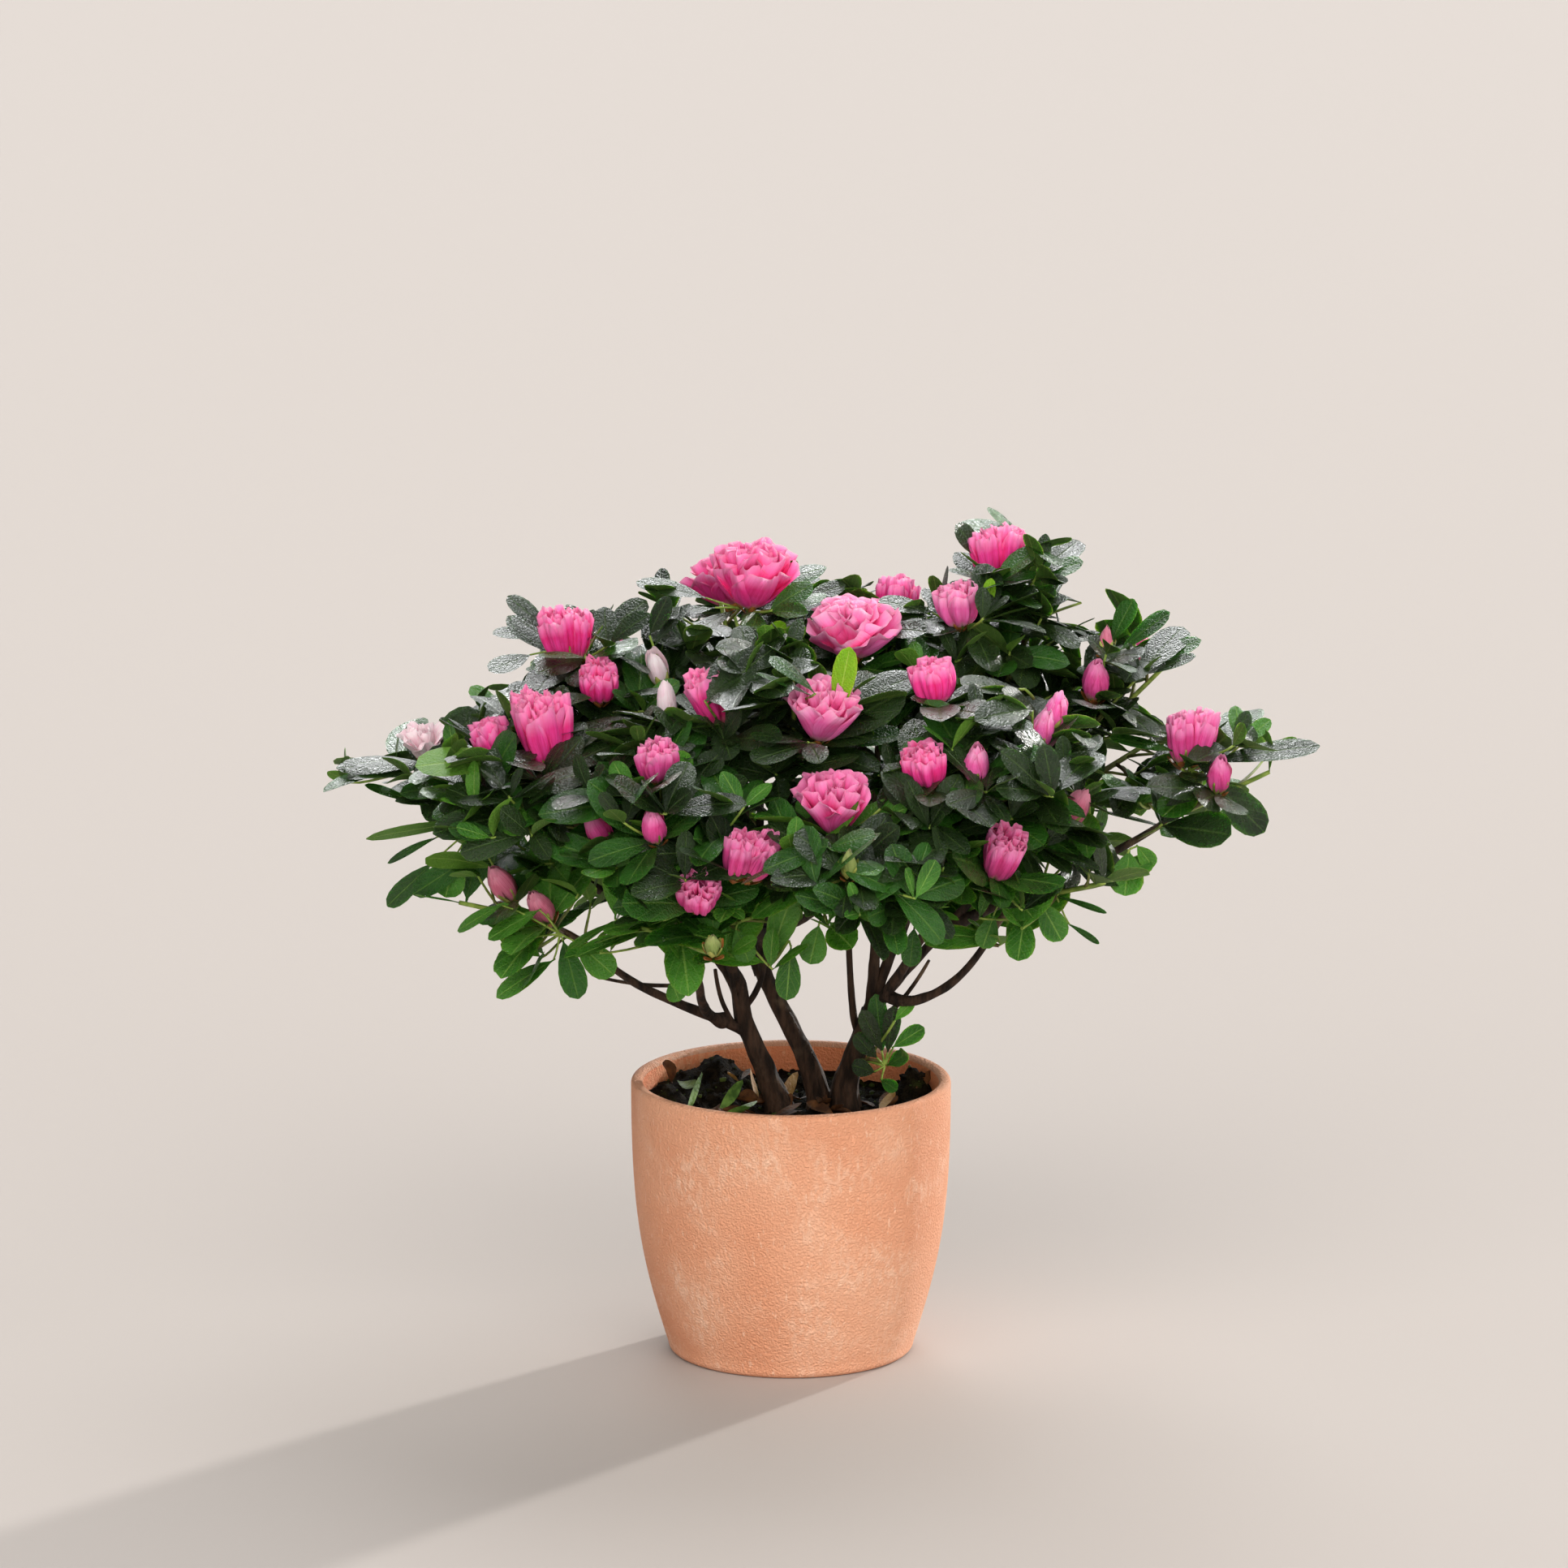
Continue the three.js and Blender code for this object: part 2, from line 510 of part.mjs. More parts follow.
// The foot shoot starts at the bark of its stem and grows straight out from it, towards its own space.
function footShootStart(curves) {
  const { centre, stem, share } = FOOT_SHOOT;
  const middle = curves[stem].getPoint(share);
  const grain = curves[stem].getTangent(share);
  const heading = vector(centre).sub(middle).projectOnPlane(grain).normalize();
  return { start: middle.addScaledVector(heading, stemRadius(STEMS[stem])(share)), heading };
}

function buildCrown({ curves, limbs }) {
  const plans = Object.keys(CROWN).map((name) => {
    return planMass(name, curves[name].getPoint(1), curves[name].getTangent(1));
  });
  const { start, heading } = footShootStart(curves);
  plans.push(planMass('foot_shoot', start, heading));
  for (const plan of plans) {
    const others = plans.filter((other) => other !== plan).flatMap((other) => other.flowers);
    growMass(plan, [...limbs, ...others]);
  }
}

buildPot();
buildSoil();
buildCrown(buildTimber());

export default plant;
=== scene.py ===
import math

import bmesh
import bpy
import numpy as np
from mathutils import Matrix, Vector, geometry, noise


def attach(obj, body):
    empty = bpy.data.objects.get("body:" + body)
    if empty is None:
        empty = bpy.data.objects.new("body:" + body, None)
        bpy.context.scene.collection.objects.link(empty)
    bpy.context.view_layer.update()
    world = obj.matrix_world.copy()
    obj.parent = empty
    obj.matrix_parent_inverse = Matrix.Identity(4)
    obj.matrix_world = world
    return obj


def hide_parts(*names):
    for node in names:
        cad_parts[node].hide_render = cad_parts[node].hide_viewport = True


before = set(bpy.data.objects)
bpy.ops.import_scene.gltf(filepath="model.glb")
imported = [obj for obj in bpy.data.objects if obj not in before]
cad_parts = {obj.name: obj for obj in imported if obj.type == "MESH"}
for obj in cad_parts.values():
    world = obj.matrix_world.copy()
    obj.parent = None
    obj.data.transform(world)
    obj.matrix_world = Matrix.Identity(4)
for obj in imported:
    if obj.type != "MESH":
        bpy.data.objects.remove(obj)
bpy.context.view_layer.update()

# Camera. The photograph was taken with a long lens from a little above the plant. The tilt, height and
# lens here put the ellipses of the pot's rim and foot where the photograph has them.
CAMERA_AT = (-0.00305, -4.0, 1.130)
CAMERA_TILT_DOWN = math.radians(12.361)
CAMERA_LENS = 216.32


def linked(name, data):
    """A new object that shows the data, in the scene's own collection."""
    made = bpy.data.objects.new(name, data)
    bpy.context.collection.objects.link(made)
    return made


camera_data = bpy.data.cameras.new("camera")
camera_data.lens = CAMERA_LENS
camera_data.sensor_width = 36
camera_data.clip_end = 60
camera = linked("camera", camera_data)
camera.location = CAMERA_AT
camera.rotation_euler = (math.pi / 2 - CAMERA_TILT_DOWN, 0, 0)
bpy.context.scene.camera = camera
bpy.context.scene.view_settings.view_transform = "Standard"

# Studio. A warm pale floor runs on behind the plant. The sun stands behind it to the right and throws the
# pot's shadow forwards to the left. Soft lights behind, above and in front give the leaves their sheen,
# and two wide dull ones, from the front and from the right, fill the shade.
def srgb(red, green, blue):
    return tuple(((c / 255 + 0.055) / 1.055) ** 2.4 for c in (red, green, blue)) + (1,)


def fill(tree, node, **inputs):
    """Fills inputs of a node, by name or by number; each is a value or the output of another node."""
    for key, value in inputs.items():
        socket = node.inputs[int(key[1:])] if key[1:].isdigit() else node.inputs[key.replace("_", " ")]
        if isinstance(value, bpy.types.NodeSocket):
            tree.links.new(value, socket)
        else:
            socket.default_value = value


def new_finish(name):
    material = bpy.data.materials.new(name)
    material.use_nodes = True
    return material, material.node_tree, material.node_tree.nodes["Principled BSDF"]


def mesh_of(name, bm):
    """The mesh of a bmesh, which is freed."""
    mesh = bpy.data.meshes.new(name)
    bm.to_mesh(mesh)
    bm.free()
    return mesh


floor_material, tree, shader = new_finish("studio_floor")
fill(tree, shader, Base_Color=srgb(177, 168, 161), Roughness=0.9)
bm = bmesh.new()
bmesh.ops.create_grid(bm, x_segments=1, y_segments=1, size=15)
floor = linked("studio_floor", mesh_of("studio_floor", bm))
floor.data.materials.append(floor_material)

# Each lamp: where it stands as azimuth from the right and elevation, in degrees, its strength and its
# spread, its colour, and whether it lights dull surfaces and glossy ones.
LAMPS = {
    "sun_lamp": (50, 13, 3.2, 3, (1, 0.98, 0.96), True, True),
    "back_light": (64, 48, 1.5, 50, (0.99, 0.995, 1), True, False),
    "back_sheen": (98, 38, 3.2, 24, (0.98, 0.99, 1), False, True),
    "high_sheen": (66, 64, 2.3, 24, (0.98, 0.99, 1), False, True),
    "front_sheen": (-58, 52, 0.5, 30, (1, 0.99, 0.98), False, True),
    "front_fill": (-92, 26, 3.5, 80, (1, 0.99, 0.98), True, False),
    "side_fill": (-18, 16, 1.2, 70, (1, 0.99, 0.98), True, False),
}
for name, (azimuth, elevation, strength, spread, colour, dull, glossy) in LAMPS.items():
    light = bpy.data.lights.new(name, "SUN")
    light.energy = strength
    light.angle = math.radians(spread)
    light.color = colour
    holder = linked(name, light)
    azimuth, elevation = math.radians(azimuth), math.radians(elevation)
    level = math.cos(elevation)
    from_there = Vector((level * math.cos(azimuth), level * math.sin(azimuth), math.sin(elevation)))
    holder.rotation_euler = (-from_there).to_track_quat("-Z", "Y").to_euler()
    holder.visible_diffuse = dull
    holder.visible_glossy = glossy
world = bpy.data.worlds.new("studio_air")
world.use_nodes = True
fill(world.node_tree, world.node_tree.nodes["Background"], Color=(1, 0.985, 0.97, 1), Strength=0.24)
bpy.context.scene.world = world

# Pot. A turned terracotta pot of 14 cm, about 5 mm thick: upright under its rounded rim, drawn in to a
# smaller foot. The clay is matt and peach, with paler scuffed patches where salts have come through.
MM = 0.001
POT = {"height": 122, "rim": 70, "wall": 5.2, "floor": 9, "foot": 54, "foot_round": 3.5, "lip_round": 2}
POT_BELLY = ((67, 44), (70, 66))
POT_STEPS, POT_TURN = 26, 112


def section(*points):
    """Points of a section that is turned round the Z axis, from (radius, height) pairs."""
    return [Vector((radius, 0, height)) for radius, height in points]


# The section's outside from the foot's round up to the lip, then its inside, one wall in, from the floor up.
pot_side = geometry.interpolate_bezier(
    *section((POT["foot"], POT["foot_round"]), *POT_BELLY, (POT["rim"], POT["height"] - POT["lip_round"])), POT_STEPS
)
pot_inside = section(*((p.x - POT["wall"], p.z) for p in pot_side if p.z > POT["floor"] + POT["foot_round"]))
pot_inside = section((pot_inside[0].x - POT["foot_round"], POT["floor"])) + pot_inside


def spun(profile, steps):
    """A bmesh turned round the Z axis from a profile that starts and ends on the axis."""
    bm = bmesh.new()
    verts = [bm.verts.new(p * MM) for p in profile]
    edges = [bm.edges.new(pair) for pair in zip(verts, verts[1:])]
    bmesh.ops.spin(
        bm, geom=verts + edges, axis=(0, 0, 1), cent=(0, 0, 0), angle=2 * math.pi, steps=steps, use_merge=True
    )
    bmesh.ops.remove_doubles(bm, verts=bm.verts, dist=1e-6)
    bmesh.ops.recalc_face_normals(bm, faces=bm.faces)
    return bm


def round_ring(bm, radius, height, by, segments):
    """Rounds the ring of edges at one radius and height."""
    def on_ring(vert):
        return abs(vert.co.xy.length - radius * MM) < 1e-5 and abs(vert.co.z - height * MM) < 1e-5
    ring = [edge for edge in bm.edges if all(on_ring(vert) for vert in edge.verts)]
    bmesh.ops.bevel(
        bm, geom=ring, offset=by * MM, segments=segments, profile=0.5, affect="EDGES", material=-1,
        offset_type="OFFSET",
    )


def place_piece(name, mesh, materials, replaced):
    """Puts a finished mesh in the scene as a piece of the object."""
    for material in materials:
        mesh.materials.append(material)
    mesh.shade_smooth()
    piece = linked(name, mesh)
    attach(piece, "root")
    if replaced:
        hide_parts(*replaced)


def new_node(tree, kind, settings=None, **inputs):
    made = tree.nodes.new("ShaderNode" + kind)
    for key, value in (settings or {}).items():
        setattr(made, key, value)
    fill(tree, made, **inputs)
    return made


def new_effect(name, inputs, outputs):
    """A node group; inputs and outputs are (name, kind, default value)."""
    tree = bpy.data.node_groups.new(name, "ShaderNodeTree")
    for side, sockets in (("INPUT", inputs), ("OUTPUT", outputs)):
        for title, kind, value in sockets:
            socket = tree.interface.new_socket(title, in_out=side, socket_type="NodeSocket" + kind)
            if value is not None:
                socket.default_value = value
    return tree, tree.nodes.new("NodeGroupInput").outputs, tree.nodes.new("NodeGroupOutput")


def mixed(tree, share, first, second):
    """The output of a colour mix, from first to second."""
    mix = new_node(tree, "Mix", {"data_type": "RGBA"}, _0=share, _6=first, _7=second)
    return mix.outputs[2]


def worked(tree, operation, *values):
    """The output of one sum."""
    inputs = {f"_{i}": value for i, value in enumerate(values)}
    return new_node(tree, "Math", {"operation": operation}, **inputs).outputs[0]


def times(tree, first, second):
    return worked(tree, "MULTIPLY", first, second)


# Patches: a cloudy mask on the object's own coordinates, from 0 to 1, used by every finish of the object.
patches, into, out = new_effect(
    "patches",
    [("Scale", "Float", 50.0), ("Stretch", "Vector", (1, 1, 1)), ("Detail", "Float", 4.0),
     ("Low", "Float", 0.4), ("High", "Float", 0.6)],
    [("Mask", "Float", None)],
)
where = new_node(patches, "TexCoord").outputs["Object"]
drawn = new_node(patches, "VectorMath", {"operation": "MULTIPLY"}, _0=where, _1=into["Stretch"]).outputs[0]
cloud = new_node(patches, "TexNoise", Vector=drawn, Scale=into["Scale"], Detail=into["Detail"]).outputs[0]
ramp = new_node(
    patches, "MapRange", {"interpolation_type": "SMOOTHSTEP"}, Value=cloud, From_Min=into["Low"],
    From_Max=into["High"],
)
fill(patches, out, Mask=ramp.outputs[0])


def patch(tree, scale, low, high, stretch=(1, 1, 1), detail=4.0):
    """The mask of one Patches node placed in a material or a group."""
    group = new_node(
        tree, "Group", {"node_tree": patches}, Scale=scale, Low=low, High=high, Stretch=stretch, Detail=detail
    )
    return group.outputs["Mask"]


def two_tone(tree, dark, light, scale=180, low=0.35, high=0.65, **more):
    """A patchy mix of two tones, given as red, green and blue from 0 to 255."""
    return mixed(tree, patch(tree, scale, low, high, **more), srgb(*dark), srgb(*light))


def dress(tree, shader, colour, roughness, height, strength, distance, **more):
    """Joins colour, roughness and relief to the shader, and fills whatever other inputs are named."""
    bump = new_node(tree, "Bump", Strength=strength, Distance=distance, Height=height)
    fill(tree, shader, Base_Color=colour, Roughness=roughness, Normal=bump.outputs[0], **more)


pot_materials = []
for name, low_tone, high_tone, cloud_tone, salt_tone in (
    ("terracotta", (226, 154, 116), (234, 167, 130), (239, 181, 147), (248, 204, 174)),
    # The inside clay: a deeper orange for damp, painted as bright as the outside as painted light where the foliage
    # shades it.
    ("terracotta_damp_painted_light", (240, 138, 92), (248, 152, 104), (250, 164, 116), (252, 184, 140)),
):
    material, tree, shader = new_finish(name)
    clay = two_tone(tree, low_tone, high_tone, 16, 0.3, 0.7, detail=8)
    flakes = worked(tree, "ADD", times(tree, patch(tree, 420, 0.44, 0.58, (1, 1, 0.5), 8), 0.8), 0.2)
    broken = times(tree, patch(tree, 40, 0.44, 0.76, detail=15), flakes)
    for mask, share, tone in (
        (patch(tree, 22, 0.36, 0.74, detail=14), 0.6, cloud_tone),
        (broken, 0.7, salt_tone),
        (patch(tree, 700, 0.6, 0.72, (1, 1, 0.3), 3), 0.5, salt_tone),
        (patch(tree, 1300, 0.62, 0.75), 0.25, (216, 136, 98)),
    ):
        clay = mixed(tree, times(tree, mask, share), clay, srgb(*tone))
    grain = worked(tree, "ADD", patch(tree, 1000, 0.3, 0.7, detail=6), times(tree, broken, 0.5))
    dress(tree, shader, clay, 0.86, grain, 0.75, 0.001)
    pot_materials.append(material)

rim_inside = POT["rim"] - POT["wall"]
profile = section((0, 0), (POT["foot"], 0)) + pot_side[:-1]
profile += section((POT["rim"], POT["height"]), (rim_inside, POT["height"]))
profile += pot_inside[:-1][::-1] + section((0, POT["floor"]))
bm = spun(profile, POT_TURN)
round_ring(bm, POT["foot"], 0, POT["foot_round"] * 0.98, 5)
round_ring(bm, POT["rim"], POT["height"], POT["lip_round"], 4)
round_ring(bm, rim_inside, POT["height"], POT["lip_round"], 4)
pot_mesh = mesh_of("terracotta_pot", bm)
# The damp clay is the inside of the wall and the floor, up to the rounded lip: a deeper orange for damp, painted
# as bright as the outside, which is painted light where the foliage shades the inside.
for face in pot_mesh.polygons:
    out, up = face.center.xy / MM, face.center.z / MM
    within = out.length < rim_inside + 0.3 and POT["floor"] < up < POT["height"] - POT["lip_round"]
    face.material_index = int(within and (face.normal.xy.dot(out) < 0 or face.normal.z > 0.9))
place_piece("terracotta_pot", pot_mesh, pot_materials, ["pot"])

# Soil. Dark peat fills the pot to 16 mm under its rim and is heaped in low mounds round the stems, with
# crumbs, bits of moss and fallen leaves lying on it.
SOIL = {"level": 106, "gap": 0.45, "seat": (10, 7), "seat_radius": 27, "seat_edge": 12}
SOIL_RINGS, SOIL_TURN = 44, 132
# Each mound: where its top is, how high it rises and how wide it spreads.
MOUNDS = (
    (-32, 40, 15, 9), (54, 20, 14, 7), (-56, 4, 11, 9), (-50, 28, 8, 8), (58, -8, 8, 9), (-32, 20, 6, 9),
    (8, 54, 4, 12), (-8, -44, 3, 14), (38, -38, 4, 12),
)


def crumbled(x, y):
    """The soil's height with its mounds and lumps, in mm."""
    rise = sum(height * math.exp(-math.hypot(x - east, y - north) ** 2 / (2 * spread**2))
               for east, north, height, spread in MOUNDS)
    away = math.hypot(x - SOIL["seat"][0], y - SOIL["seat"][1])
    share = min(max((away - SOIL["seat_radius"]) / SOIL["seat_edge"], 0), 1)
    lumps = noise.fractal(Vector((x / 7, y / 7, 3)), 0.8, 2.1, 4) * 2.6
    return SOIL["level"] + share * share * (3 - 2 * share) * rise + lumps


rows = [p for p in pot_inside if p.z < SOIL["level"]]
below, above = rows[-1], pot_inside[len(rows)]
edge = above.lerp(below, (above.z - SOIL["level"]) / (above.z - below.z))
walls = section(*((p.x - SOIL["gap"], p.z) for p in [*rows, edge]))
walls[0].z += 0.3
surface = section(*((walls[-1].x * ring / SOIL_RINGS, SOIL["level"]) for ring in range(SOIL_RINGS - 1, -1, -1)))
bm = spun(section((0, walls[0].z)) + walls + surface, SOIL_TURN)
for vert in bm.verts:
    if vert.co.z > (SOIL["level"] - 0.01) * MM:
        vert.co.z = crumbled(vert.co.x / MM, vert.co.y / MM) * MM
soil_mesh = mesh_of("potting_soil_heap", bm)
peat, tree, shader = new_finish("peat")
earth = two_tone(tree, (17, 14, 10), (36, 29, 20), 260)
earth = mixed(tree, patch(tree, 90, 0.56, 0.7), earth, srgb(46, 50, 22))
dress(tree, shader, earth, 0.9, patch(tree, 900, 0.3, 0.7), 0.7, 0.0012, Specular_IOR_Level=0.05)
place_piece("potting_soil_heap", soil_mesh, [peat], ["potting_soil"])


class Gathered:
    """Many small closed meshes, in mm, that are joined into one piece."""

    def __init__(self):
        self.verts, self.faces, self.uvs, self.slots, self.rims, self.count = [], [], [], [], [], 0

    def add(self, verts, faces, uvs, slots, rims):
        """Adds one mesh; its faces are arrays of corners, one array for each number of corners."""
        self.verts.append(verts)
        for corners in faces:
            self.faces.extend((corners + self.count).tolist())
        self.uvs.append(uvs)
        self.slots.append(slots)
        self.rims.append(rims)
        self.count += len(verts)

    def piece(self, name, materials, replaced, slot):
        mesh = bpy.data.meshes.new(name)
        mesh.from_pydata((np.concatenate(self.verts) * MM).tolist(), [], self.faces)
        mesh.polygons.foreach_set("material_index", np.concatenate(self.slots).astype(np.int32))
        corner = np.empty(len(mesh.loops), np.int32)
        mesh.loops.foreach_get("vertex_index", corner)
        layer = mesh.uv_layers.new(name="own")
        layer.data.foreach_set("uv", np.concatenate(self.uvs)[corner].ravel())
        ends = np.empty(2 * len(mesh.edges), np.int32)
        mesh.edges.foreach_get("vertices", ends)
        rim = np.concatenate(self.rims)[ends].reshape(-1, 2).all(axis=1)
        place_piece(name, mesh, materials, replaced)
        mesh.attributes.new("sharp_edge", "BOOLEAN", "EDGE").data.foreach_set("value", rim)


def units(vectors):
    """Each vector of an array, made as long as 1."""
    return vectors / np.maximum(np.linalg.norm(vectors, axis=-1, keepdims=True), 1e-9)


def gather_sheets(heap, grids, thickness, slots, under_slots=None):
    """Adds thin closed sheets, from grids of points: sheet, along, across, xyz.

    The two faces of a sheet meet at its rim, as a leaf's or a petal's do.
    """
    count, along, across, _ = grids.shape
    under_slots = slots if under_slots is None else under_slots
    normals = units(np.cross(np.gradient(grids, axis=1), np.gradient(grids, axis=2)))
    under = (grids - normals * thickness)[:, 1:-1, 1:-1]
    upper_index = np.arange(along * across).reshape(along, across)
    under_index = upper_index.copy()
    under_index[1:-1, 1:-1] = along * across + np.arange((along - 2) * (across - 2)).reshape(along - 2, -1)

    def quads(index):
        corners = (index[:-1, :-1], index[1:, :-1], index[1:, 1:], index[:-1, 1:])
        return np.stack(corners, -1).reshape(-1, 4)

    faces = np.concatenate([quads(upper_index), quads(under_index)[:, ::-1]])
    half = len(faces) // 2
    each = along * across + (along - 2) * (across - 2)
    verts = np.concatenate([grids.reshape(count, -1, 3), under.reshape(count, -1, 3)], axis=1)
    u, v = np.meshgrid(np.linspace(0, 1, along), np.linspace(0, 1, across), indexing="ij")
    upper_uv = np.stack([u, v], -1)
    uv = np.concatenate([upper_uv.reshape(-1, 2), upper_uv[1:-1, 1:-1].reshape(-1, 2)])
    rim = np.ones((along, across), bool)
    rim[1:-1, 1:-1] = False
    rim = np.concatenate([rim.ravel(), np.zeros((along - 2) * (across - 2), bool)])
    all_faces = (faces[None] + each * np.arange(count)[:, None, None]).reshape(-1, 4)
    all_slots = np.repeat(np.stack([slots, under_slots], 1), half, 1)
    heap.add(verts.reshape(-1, 3), [all_faces], np.tile(uv, (count, 1)), all_slots.ravel(), np.tile(rim, count))


LEAF_STATIONS = (0, 0.08, 0.19, 0.35, 0.53, 0.7, 0.84, 0.94, 1)
LEAF_ACROSS = 5


def leaf_grids(root, along, up, length, width, shape):
    """Leaf blades with a stalk, widest past the middle. shape holds arch, fold, roll, twist and fullness."""
    arch, fold, roll, twist, full = shape.T[:, :, None, None]
    share = np.array(LEAF_STATIONS)[None, :, None]
    blade = np.clip((share - 0.06) / 0.94, 0, 1)
    swell = blade**0.9 * (1 - blade) ** full
    swell = swell / swell.max(axis=1, keepdims=True)
    half = np.maximum(width[:, None, None] / 2 * swell, 0.4)
    side = np.linspace(-1, 1, LEAF_ACROSS)[None, None, :]
    far = length[:, None, None] * share * np.ones_like(side)
    across = side * half
    high = fold * np.abs(across) - roll * side**2 * half - arch * share**2 * length[:, None, None]
    high = high + twist * share * across
    east = units(np.cross(up, along))
    axes = (along, east, np.cross(along, east))
    place = sum(axis[:, None, None, :] * part[..., None] for axis, part in zip(axes, (far, across, high)))
    return root[:, None, None, :] + place


def strewn(reach):
    """A random place on the soil, within a reach of its middle."""
    radius, bearing = reach * math.sqrt(rng.random()), rng.random() * 2 * math.pi
    return radius * math.cos(bearing), radius * math.sin(bearing)


CRUMBS, FALLEN = 1100, 46
MOSSY_SHARE = 0.16
rng = np.random.default_rng(4)
litter = Gathered()
crumb_bm = bmesh.new()
bmesh.ops.create_icosphere(crumb_bm, subdivisions=1, radius=1)
crumb_verts = np.array([vert.co[:] for vert in crumb_bm.verts])
crumb_faces = np.array([[vert.index for vert in face.verts] for face in crumb_bm.faces])
crumb_bm.free()
for i in range(CRUMBS):
    x, y = strewn(62)
    size = 0.5 + 1.7 * rng.random() ** 3
    lumpy = crumb_verts * (size * rng.uniform(0.6, 1.25, (len(crumb_verts), 1))) * (1, rng.uniform(0.5, 1), 0.7)
    turn = rng.random() * 2 * math.pi
    spin = np.array([[math.cos(turn), -math.sin(turn), 0], [math.sin(turn), math.cos(turn), 0], [0, 0, 1]])
    verts = lumpy @ spin.T + (x, y, crumbled(x, y) + 0.1 * size)
    slots = np.full(len(crumb_faces), int(rng.random() < MOSSY_SHARE))
    litter.add(verts, [crumb_faces], np.zeros((len(verts), 2)), slots, np.zeros(len(verts), bool))
# Dry leaves lie along the soil: each follows it for a step of 7 mm.
roots, ways = [], []
for i in range(FALLEN):
    x, y = strewn(40)
    turn = rng.random() * 2 * math.pi
    east, north = 7 * math.cos(turn), 7 * math.sin(turn)
    start, end = crumbled(x, y), crumbled(x + east, y + north)
    roots.append((x, y, start + 1.2))
    ways.append((east, north, end - start + rng.uniform(0, 2.5)))
ups = np.array([0, 0, 1]) + rng.normal(0, 0.35, (FALLEN, 3))
lengths = rng.uniform(7, 17, FALLEN)
shapes = np.stack([rng.uniform(-0.35, 0.25, FALLEN), rng.uniform(0.1, 0.8, FALLEN),
                   rng.uniform(-0.3, 0.4, FALLEN), rng.normal(0, 0.5, FALLEN), rng.uniform(0.5, 0.9, FALLEN)], 1)
kinds = 2 + rng.choice(3, FALLEN, p=[0.66, 0.16, 0.18])
# The scraps seen in the photograph: foot and tip on the soil, how far the tip stands up, width, kind.
SCRAPS = (
    (-50, 21, -42, 4, 2, 6, 4), (-32, -3, -23, 15, 3, 6, 4), (-46, -12, -41, 11, 3, 4, 4), (-52, 8, -58, 2, 11, 9, 2),
    (-6, 11, 1, 32, 4, 7, 3), (-14, 17, -19, 32, 4, 5, 3), (-36, -2, -32, -12, 2, 6, 2), (9, 5, 15, 14, 2, 5, 2),
    (55, 12, 61, 23, 3, 5, 2),
)
feet = np.array([(x, y, crumbled(x, y) + 1) for x, y, *_ in SCRAPS])
tips = np.array([(x, y, crumbled(x, y) + rise) for _, _, x, y, rise, *_ in SCRAPS])
reach = tips - feet
tilted = np.cross(reach, np.cross((0.3, -0.5, 1), reach))
curled = np.tile((-0.3, 0.9, 0.4, 1.6, 0.8), (len(SCRAPS), 1))
wide, scrap_kinds = np.array([scrap[-2:] for scrap in SCRAPS]).T
scraps = leaf_grids(feet, units(reach), tilted, np.linalg.norm(reach, axis=1), wide * 0.7, curled)
gather_sheets(litter, scraps, 0.3, scrap_kinds)
fallen = leaf_grids(np.array(roots), units(np.array(ways)), ups, lengths, lengths * 0.42, shapes)
gather_sheets(litter, fallen, 0.3, kinds)
litter_materials = [peat]
for name, dark, light, rough in (
    ("moss", (38, 46, 20), (66, 78, 30), 0.95),
    ("dry_leaf_brown", (58, 34, 18), (98, 62, 32), 0.8),
    ("dry_leaf_ochre", (140, 98, 44), (168, 130, 70), 0.75),
    ("fallen_leaf_green", (54, 84, 26), (112, 146, 62), 0.6),
):
    material, tree, shader = new_finish(name)
    dress(tree, shader, two_tone(tree, dark, light), rough, patch(tree, 700, 0.3, 0.7), 0.4, 0.0006)
    litter_materials.append(material)
litter.piece("soil_litter", litter_materials, [], "soil")

# Stems and boughs. Three old stems lean out of the soil and fork into one bough for each mass of leaves.
# Dark brown bark runs in ridges along them, and each fork has a swollen collar.
STEMS = {
    "stem_left": (((-5, 6, 103), (-8, 6, 124), (-22, 3, 139), (-23, 1, 164)), (5.2, 3.5)),
    "stem_middle": (((13, 11, 103), (12, 10, 124), (-2, 15, 142), (-14, 19, 168)), (4.8, 3.5)),
    "stem_right": (((23, 7, 103), (22, 7, 124), (31, 3, 134), (35, 3, 152)), (5.4, 4.3)),
}
BOUGH = {"radius": (2.5, 1.5), "entry": 0.6, "lift": 0.32, "level": 0.3}
# How a stem, a bough and a thin old shoot are drawn: the swelling of the foot and how far up it goes, the
# sides and the step between rings, how deep the ridges and knots are, and the ages of foot and tip.
STEM_BARK = {"swell": 0.6, "over": 8, "sides": 22, "step": 0.9, "ridge": 0.16, "knot": 0.12, "ages": (0, 0)}
BOUGH_BARK = {"swell": 0.45, "over": 7, "sides": 14, "step": 1.6, "ridge": 0.14, "knot": 0.16, "ages": (0, 0.3)}
THIN_BARK = {"swell": 0, "over": 1, "sides": 9, "step": 1.6, "ridge": 0.16, "knot": 0.2, "ages": (0.1, 0.4)}
